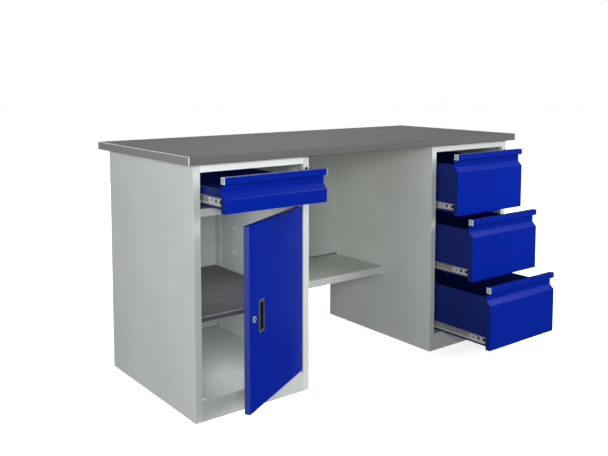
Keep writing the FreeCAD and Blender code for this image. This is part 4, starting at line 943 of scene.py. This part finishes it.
@dataclass
class CupboardDoor:
    """The hinged door: folded skin, recessed handle and cam lock, made closed and then swung."""

    hinge: Vector
    open_degrees: float
    width: float = 400.0
    depth: float = 20.0
    sheet: float = 1.2
    fold: float = 1.6
    # The free edge's fold takes a paler blue as painted light, with the part of its rounding that
    # looks along X.
    edge_facing: float = 0.95
    hinge_edge_inset: float = 6.5
    hinge_face_inset: float = 8.5
    hinge_pin: float = 5.0
    handle_inset: float = 60.0
    handle_rise: float = 240.5
    handle_width: float = 38.5
    handle_length: float = 106.0
    handle_rim: float = 8.5
    handle_proud: float = 1.5
    handle_wall: float = 1.5
    handle_corner: float = 5.0
    handle_edge: float = 1.0
    pocket_depth: float = 15.0
    pocket_corner: float = 3.0
    pocket_fit: float = 0.3
    lock_inset: float = 29.0
    lock_rise: float = 295.0
    lock_body: float = 17.0
    lock_rim: float = 21.0
    lock_proud: float = 3.0
    lock_bevel: float = 1.4
    plug: float = 12.0
    plug_gap: float = 0.05
    plug_sink: float = 0.5
    keyway_length: float = 7.0
    keyway_width: float = 1.6
    keyway_depth: float = 3.0
    cam_length: float = 45.0
    cam_width: float = 14.0
    cam_corner: float = 6.86
    cam_edge: float = 0.3
    cam_thickness: float = 2.0
    cam_gap: float = 1.5
    height: float = field(init=False)
    place: Matrix = field(init=False)
    lock_place: Matrix = field(init=False)

    def __post_init__(self) -> None:
        """Takes the door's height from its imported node, and its swing from the hinge."""
        low, high = node_corners("door_outer_skin")
        self.height = high.z - low.z
        self.place = (Matrix.Translation(self.hinge) @ turn(self.open_degrees, "Z")
                      @ at(self.hinge_edge_inset - self.width, -self.hinge_face_inset, 0))
        self.lock_place = at(self.lock_inset, 0, self.lock_rise)

    def skin(self) -> Shape:
        """Face sheet folded back on four sides, cut out for the handle, the lock and the pins.

        Returns:
            The skin.
        """
        made = box((0, self.width), (0, self.depth), (0, self.height))
        back = [face for face in made.bm.faces if face.normal.y > FACING]
        bmesh.ops.delete(made.bm, geom=back, context="FACES")
        made.round_folds(self.fold).thicken(self.sheet)
        through = (-self.depth, self.sheet + self.fold)
        inset = self.handle_rim - self.handle_wall - self.pocket_fit
        made.cut(self.handle_plate(inset, through, self.pocket_corner + self.handle_wall))
        made.cut(Shape().add(rod(self.lock_body / 2, through), self.lock_place))
        pins = rod(self.hinge_pin / 2, (-self.depth, self.height + self.depth), SMALL_STEPS)
        axis = at(self.width - self.hinge_edge_inset, self.hinge_face_inset, 0)
        return made.cut(Shape().add(pins, axis @ turn(90, "X")))

    def handle_plate(self, inset: float, y_span: Span, corner: float, edge: float = 0.0) -> Shape:
        """A plate with round corners, drawn in from the handle's edge.

        Args:
            inset: How far it is drawn in.
            y_span: Its extent along Y.
            corner: Radius of its corners.
            edge: Radius of the edge round its front face.

        Returns:
            The plate.
        """
        x_span = (self.handle_inset + inset, self.handle_inset + self.handle_width - inset)
        z_span = (self.handle_rise + inset, self.handle_rise + self.handle_length - inset)
        return plate(x_span, y_span, z_span, corner, edge)

    def handle(self) -> Shape:
        """Moulded grip: a rim with a rounded edge round a pocket for the fingers, the pocket's
        hollow painted darker as shade.

        Returns:
            The grip.
        """
        proud, wall = self.handle_proud, self.handle_wall
        made = self.handle_plate(0.0, (-proud, 0), self.handle_corner, self.handle_edge)
        tub = self.handle_plate(self.handle_rim - wall, (-proud / 2, self.pocket_depth),
                                self.pocket_corner + wall)
        hollow = (-2 * proud, self.pocket_depth - wall)
        for part in (made, tub):
            # The hollow takes the darker plastic as painted shade.
            part.cut(self.handle_plate(self.handle_rim, hollow, self.pocket_corner).mark(1))
        return made.add(tub)

    def lock_ring(self) -> Shape:
        """Lock body with a rounded rim on the door's face.

        Returns:
            The lock body, in its place on the door.
        """
        bore = self.plug / 2 + self.plug_gap
        rim, body = self.lock_rim / 2, self.lock_body / 2
        proud, bevel = self.lock_proud, self.lock_bevel
        ring = [(bore, self.plug_sink - proud), (bore + bevel, -proud), (rim - bevel, -proud),
                (rim - bevel / 3, -proud + bevel / 3), (rim, -proud + bevel), (rim, 0), (body, 0),
                (body, self.depth), (bore, self.depth)]
        return Shape().add(turned(ring, LOCK_STEPS, True), self.lock_place)

    def lock_plug(self) -> Shape:
        """Turning plug with its keyway, and the cam behind the door.

        Returns:
            The plug and the cam, in their place.
        """
        radius, front, chamfer = self.plug / 2, self.plug_sink - self.lock_proud, self.plug_sink
        cam = (self.depth + self.cam_gap, self.depth + self.cam_gap + self.cam_thickness)
        made = turned([(0, front), (radius - chamfer, front), (radius, front + chamfer),
                       (radius, cam[1]), (0, cam[1])], LOCK_STEPS)
        wide, long = self.keyway_width / 2, self.keyway_length / 2
        made.cut(box((-wide, wide), (front - self.lock_proud, front + self.keyway_depth),
                     (-long, long)))
        half = self.cam_width / 2
        made.add(plate((-half, half), cam, (half - self.cam_length, half), self.cam_corner,
                       self.cam_edge))
        return Shape().add(made, self.lock_place)

    def build(self) -> None:
        """Makes the door's skin, handle and lock."""
        # The free edge takes the paler blue as painted light.
        skin = self.skin().mark(1, lambda face: (face.normal.x < -self.edge_facing
                                                 and face.calc_center_median().x < self.fold))
        pieces = (
            (skin, "door_face_sheet", Body.DOOR, [DOOR_COAT, EDGE_LIGHT_BLUE_COAT], "blue_paint",
             "door_outer_skin"),
            (self.handle(), "door_grip_shell", Body.DOOR, [HANDLE_ABS, POCKET_SHADE_ABS],
             "handle_plastic", "door_handle"),
            (self.lock_ring(), "door_lock_ring", Body.DOOR, [CHROME], "lock_chrome",
             "door_lock_case"),
            (self.lock_plug(), "door_lock_barrel", Body.DOOR_LOCK, [PLUG_CHROME], "lock_chrome",
             "door_lock_plug"),
        )
        for shape, name, body, finishes, slot, node in pieces:
            place_piece(shape, name, body, self.place, finishes, [node])


@dataclass
class WorktopEnds:
    """The two steel plates on the worktop's ends, grey with a white painted highlight along two
    edges.
    """

    node: str = "worktop_end_plates"
    thickness: float = 3.0
    chamfer: float = 1.3
    chamfer_steps: int = 4
    # The painted highlight line takes the rounding's faces that look up, and those that look well
    # forward.
    upward: float = 0.1
    forward: float = 0.6
    end_facing: float = 0.999

    def in_highlight_line(self, face: bmesh.types.BMFace) -> bool:
        """Whether a face is part of the painted highlight line."""
        lit = face.normal.z > self.upward or face.normal.y < -self.forward
        return lit and abs(face.normal.x) < self.end_facing

    def build(self) -> None:
        """Makes both plates as one piece."""
        low, high = node_corners(self.node)
        made = Shape()
        for outer, inner in ((low.x, low.x + self.thickness), (high.x, high.x - self.thickness)):
            blank = box(sorted((outer, inner)), (low.y, high.y), (low.z, high.z))
            rim = [e for e in blank.bm.edges
                   if all(abs(v.co.x - outer) < NEAR_MM for v in e.verts)]
            made.add(blank.round_edges(rim, self.chamfer, self.chamfer_steps))
        made.mark(1, self.in_highlight_line)
        place_piece(made, "worktop_end_steel", Body.BENCH, Matrix(), [END_COAT, EDGE_HIGHLIGHT_PAINT],
                    [self.node])


@dataclass
class CupboardShelf:
    """The loose shelf: a pan folded down on four sides, with a painted highlight along its front
    folds.
    """

    node: str = "cupboard_shelf"
    sheet: float = 1.2
    fold: float = 2.2
    lip_return: float = 12.0
    # The share of Z in the normals of a fold's faces.
    fold_facing: Span = (0.1, 0.99)

    def build(self) -> None:
        """Folds the shelf."""
        low, high = node_corners(self.node)
        pan = box((low.x, high.x), (low.y, high.y), (low.z, high.z))
        under = [face for face in pan.bm.faces if face.normal.z < -FACING]
        bmesh.ops.delete(pan.bm, geom=under, context="FACES")
        foot = [e for e in pan.bm.edges
                if all(v.co.z < low.z + NEAR_MM and v.co.y < low.y + NEAR_MM for v in e.verts)]
        moved = new_verts(bmesh.ops.extrude_edge_only(pan.bm, edges=foot))
        bmesh.ops.translate(pan.bm, vec=(0, self.lip_return, 0), verts=moved)
        for vert in moved:
            vert.co.x -= math.copysign(self.fold + self.sheet, vert.co.x - (low.x + high.x) / 2)
        pan.round_folds(self.fold).thicken(self.sheet)
        least, most = self.fold_facing
        # The front folds' rounded faces take the pale grey as painted highlight.
        pan.mark(1, lambda face: (face.calc_center_median().y < low.y + self.fold
                                  and least < abs(face.normal.z) < most))
        place_piece(pan, "cupboard_shelf_pan", Body.BENCH, Matrix(), [SHELF_COAT, FOLD_HIGHLIGHT_COAT],
                    [self.node])


@dataclass
class ScreenSeal:
    """Black foam strip on the low shelf's rear edge, under the screen's foot; its black is painted
    shade for the gap there.
    """

    width: float = 6.6
    height: float = 2.9
    step_back: float = 0.2
    head_gap: float = 0.1
    end_gap: float = 1.0
    edge: float = 0.4

    def build(self) -> None:
        """Lays the strip from pedestal to pedestal."""
        end = node_corners("low_shelf")[0].x + self.end_gap
        screen = node_corners("back_screen")[0]
        back = screen.y - self.step_back
        foot = screen.z - self.height - self.head_gap
        strip = box((end, -end), (back - self.width, back), (foot, foot + self.height), self.edge)
        place_piece(strip, "screen_foot_seal", Body.BENCH, Matrix(), [SEAL_SHADE_FOAM])


@dataclass
class HoleNuts:
    """Black blind nuts behind the spare bolt holes of both outer side walls, which stay open; their
    black is painted shade inside the holes.
    """

    sheet: float = 1.2
    bore: float = 3.1
    radius: float = 3.45
    depth: float = 8.0
    bore_depth: float = 7.0
    # Y and Z of each hole, the same in both walls.
    places: tuple[Span, ...] = ((426.0, 404.0), (426.0, 727.0), (389.0, 307.0), (149.0, 307.0))

    def nut(self) -> Shape:
        """A cup with its mouth at Y = 0, open towards -Y."""
        return turned([(0, self.bore_depth), (self.bore, self.bore_depth), (self.bore, 0),
                       (self.radius, 0), (self.radius, self.depth), (0, self.depth)], SMALL_STEPS)

    def build(self) -> None:
        """Sets a nut behind the outer sheet at each hole."""
        left = node_corners("left_pedestal_outer_wall")[0].x + self.sheet
        right = node_corners("right_pedestal_outer_wall")[1].x - self.sheet
        made = Shape()
        for x, degrees in ((left, -90), (right, 90)):
            for y, z in self.places:
                made.add(self.nut(), at(x, y, z) @ turn(degrees, "Z"))
        place_piece(made, "side_hole_nuts", Body.BENCH, Matrix(), [SHADE_BLACK_RUBBER])


@dataclass
class BackFoldHighlights:
    """Pale strips up the cupboard's side walls, painted highlights along the front edges of the
    back's folds.
    """

    divider_fold: float = 20.0
    width: float = 2.4
    height: float = 2.0
    edge: float = 0.5

    def build(self) -> None:
        """Runs a highlight strip up each wall, from the floor to the divider."""
        low, high = node_corners("left_pedestal_back")
        y_span = (low.y - self.width, low.y)
        z_span = (node_corners("left_pedestal_floor")[1].z,
                  node_corners("left_pedestal_divider")[1].z - self.divider_fold)
        made = Shape()
        for x_span in ((low.x, low.x + self.height), (high.x - self.height, high.x)):
            made.add(box(x_span, y_span, z_span, self.edge))
        place_piece(made, "back_fold_painted_highlights", Body.BENCH, Matrix(), [LIT_GREY_COAT])


@dataclass
class PivotBushes:
    """The door pins' white nylon bushes: those on the floor stay white, those under the divider are
    painted grey as shade.
    """

    node: str = "door_pivot_bushes"
    flange: float = 12.0
    shank: float = 8.0
    shank_length: float = 9.0
    bore: float = 5.1
    low_height: float = 4.7
    high_height: float = 5.0
    edge: float = 0.4
    steps: int = 32

    def bush(self, height: float) -> Shape:
        """A bush with its flange's free face at Y = 0 and its shank towards +Y.

        Args:
            height: The flange's height.

        Returns:
            The bush.
        """
        bore, flange, shank = self.bore / 2, self.flange / 2, self.shank / 2
        end = height + self.shank_length
        return turned([(bore, 0), (flange - self.edge, 0), (flange, self.edge), (flange, height),
                       (shank, height), (shank, end), (bore, end)], self.steps, True)

    def build(self) -> None:
        """Makes the two pairs as one piece."""
        low, high = node_corners(self.node)
        made = Shape()
        y = (low.y + high.y) / 2
        low_end = low.z + self.shank_length + self.low_height
        high_end = high.z - self.shank_length - self.high_height
        for x in (low.x + self.flange / 2, high.x - self.flange / 2):
            made.add(self.bush(self.low_height), at(x, y, low_end) @ turn(-90, "X"))
            made.add(self.bush(self.high_height).mark(1), at(x, y, high_end) @ turn(90, "X"))
        place_piece(made, "door_pin_bushes", Body.BENCH, Matrix(), [NYLON, SHADED_NYLON],
                    [self.node])


@dataclass
class Dressing:
    """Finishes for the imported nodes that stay."""

    record: dict
    nodes: dict[str, bpy.types.Object]

    def build(self) -> None:
        """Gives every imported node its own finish, or else its slot's."""
        for subpart in self.record["subparts"]:
            node = self.nodes[subpart["node"]]
            finish = FINISH_OF_NODE.get(subpart["node"], FINISH_OF_SLOT[subpart["material_slot"]])
            node.data.materials.clear()
            node.data.materials.append(None)
            node.material_slots[0].link = "OBJECT"
            node.material_slots[0].material = finish.material()
            LOG.info("%s finished as %s", node.name, finish.name)


# Studio

@dataclass
class SoftLight:
    """A square soft box that looks at a point."""

    name: str
    place_m: tuple[float, float, float]
    aim_m: tuple[float, float, float]
    size_m: float
    watts: float
    # False where its reflection would veil the blue fronts.
    mirrored: bool = True

    def build(self) -> None:
        """Hangs the soft box, out of the camera's sight."""
        light = bpy.data.lights.new(self.name, "AREA")
        light.energy, light.size = self.watts, self.size_m
        lamp = link_object(self.name, light)
        lamp.visible_camera = False
        lamp.visible_glossy = self.mirrored
        lamp.location = self.place_m
        aim = Vector(self.aim_m) - lamp.location
        lamp.rotation_euler = aim.to_track_quat("-Z", "Y").to_euler()


SOFT_LIGHTS = (
    SoftLight("rear_soft_box", (1.6, 2.6, 4.2), (0.0, 0.3, 0.2), 2.2, 140.0),
    SoftLight("front_soft_box", (1.9, -4.0, 1.9), (0.0, 0.0, 0.5), 1.0, 60.0, mirrored=False),
    SoftLight("right_soft_box", (3.0, -3.0, 1.5), (0.0, 0.0, 0.5), 1.4, 94.0, mirrored=False),
    SoftLight("high_soft_box", (2.6, -2.4, 3.4), (0.0, 0.0, 0.5), 1.6, 66.0),
    SoftLight("camera_soft_box", (-2.4, -2.9, 1.3), (0.0, 0.0, 0.4), 1.2, 74.0, mirrored=False),
    SoftLight("left_soft_box", (-4.2, -0.6, 1.2), (0.0, 0.0, 0.5), 2.2, 70.0),
    SoftLight("back_soft_box", (-0.6, 5.0, 1.6), (0.0, 0.4, 0.4), 2.4, 90.0),
    SoftLight("cupboard_soft_box", (-0.54, 0.02, 0.655), (-0.54, 0.02, 0.0), 0.28, 0.72),
    SoftLight("drawer_soft_box", (-0.54, 0.06, 0.812), (-0.54, 0.06, 0.0), 0.2, 0.13),
    SoftLight("under_shelf_soft_box", (-0.54, -0.1, 0.3), (-0.54, -0.08, 0.0), 0.16, 0.42),
    SoftLight("rear_shelf_soft_box", (-0.54, 0.22, 0.3), (-0.54, 0.24, 0.0), 0.3, 0.12),
)


@dataclass
class Studio:
    """Pale floor, white surroundings, soft boxes and the camera at the photograph's place."""

    lights: tuple[SoftLight, ...] = SOFT_LIGHTS
    floor_size_m: float = 60.0
    room_strength: float = 0.06
    lens: float = 45.646
    sensor_width: float = 36.0
    camera_m: tuple[float, float, float] = (-1.9494, -2.3097, 1.1195)
    pitch_degrees: float = -4.986
    yaw_degrees: float = -37.424
    shift_up: float = -0.14

    def floor(self) -> None:
        """Lays the floor."""
        made = Shape()
        bmesh.ops.create_grid(made.bm, x_segments=2, y_segments=2, size=self.floor_size_m / 2)
        mesh = made.end("studio_floor")
        mesh.materials.append(StudioPaint("white_emulsion_floor").material())
        floor = link_object("studio_floor", mesh)
        floor.visible_diffuse = False
        floor.visible_glossy = False

    def surround(self) -> None:
        """Hangs a white backdrop that gives the room a dimmer even light."""
        world = bpy.data.worlds.new("white_surround")
        world.use_nodes = True
        tree = world.node_tree
        tree.nodes.clear()
        white = linear("#ffffff")
        room = add_node(tree, "ShaderNodeBackground",
                        {"Color": white, "Strength": self.room_strength})
        backdrop = add_node(tree, "ShaderNodeBackground", {"Color": white})
        seen = add_node(tree, "ShaderNodeLightPath").outputs["Is Camera Ray"]
        mix = add_node(tree, "ShaderNodeMixShader", links={"Fac": seen})
        tree.links.new(room.outputs["Background"], mix.inputs[1])
        tree.links.new(backdrop.outputs["Background"], mix.inputs[2])
        add_node(tree, "ShaderNodeOutputWorld", links={"Surface": mix.outputs["Shader"]})
        bpy.context.scene.world = world

    def camera(self) -> None:
        """Sets the camera where the photograph was taken from."""
        data = bpy.data.cameras.new("photo_camera")
        data.sensor_width, data.lens, data.shift_y = self.sensor_width, self.lens, self.shift_up
        camera = link_object("photo_camera", data)
        camera.location = self.camera_m
        camera.rotation_euler = (math.radians(90 + self.pitch_degrees), 0,
                                 math.radians(self.yaw_degrees))
        bpy.context.scene.camera = camera

    def build(self) -> None:
        """Sets up the floor, the lights and the camera."""
        self.floor()
        self.surround()
        for light in self.lights:
            light.build()
        self.camera()
        bpy.context.scene.view_settings.view_transform = "Standard"
        LOG.info("studio with %d soft boxes", len(self.lights))


def main() -> None:
    """Loads the frame, finishes the bench and sets up the studio."""
    logging.basicConfig(level=logging.INFO, format="%(message)s")
    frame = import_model()
    Dressing(frame["record"], frame["nodes"]).build()
    for body in DRAWERS:
        DrawerFront(body).build()
        DrawerSlides(body).build()
    hinge = next(joint for joint in frame["joints"] if joint["name"] == "door_hinge")
    CupboardDoor(Vector(hinge["pos_m"]) / METRES_PER_MM, -hinge["range_deg"][0]).build()
    for piece in (WorktopEnds(), CupboardShelf(), ScreenSeal(), HoleNuts(), BackFoldHighlights(),
                  PivotBushes(), Studio()):
        piece.build()


if __name__ == "__main__":
    main()
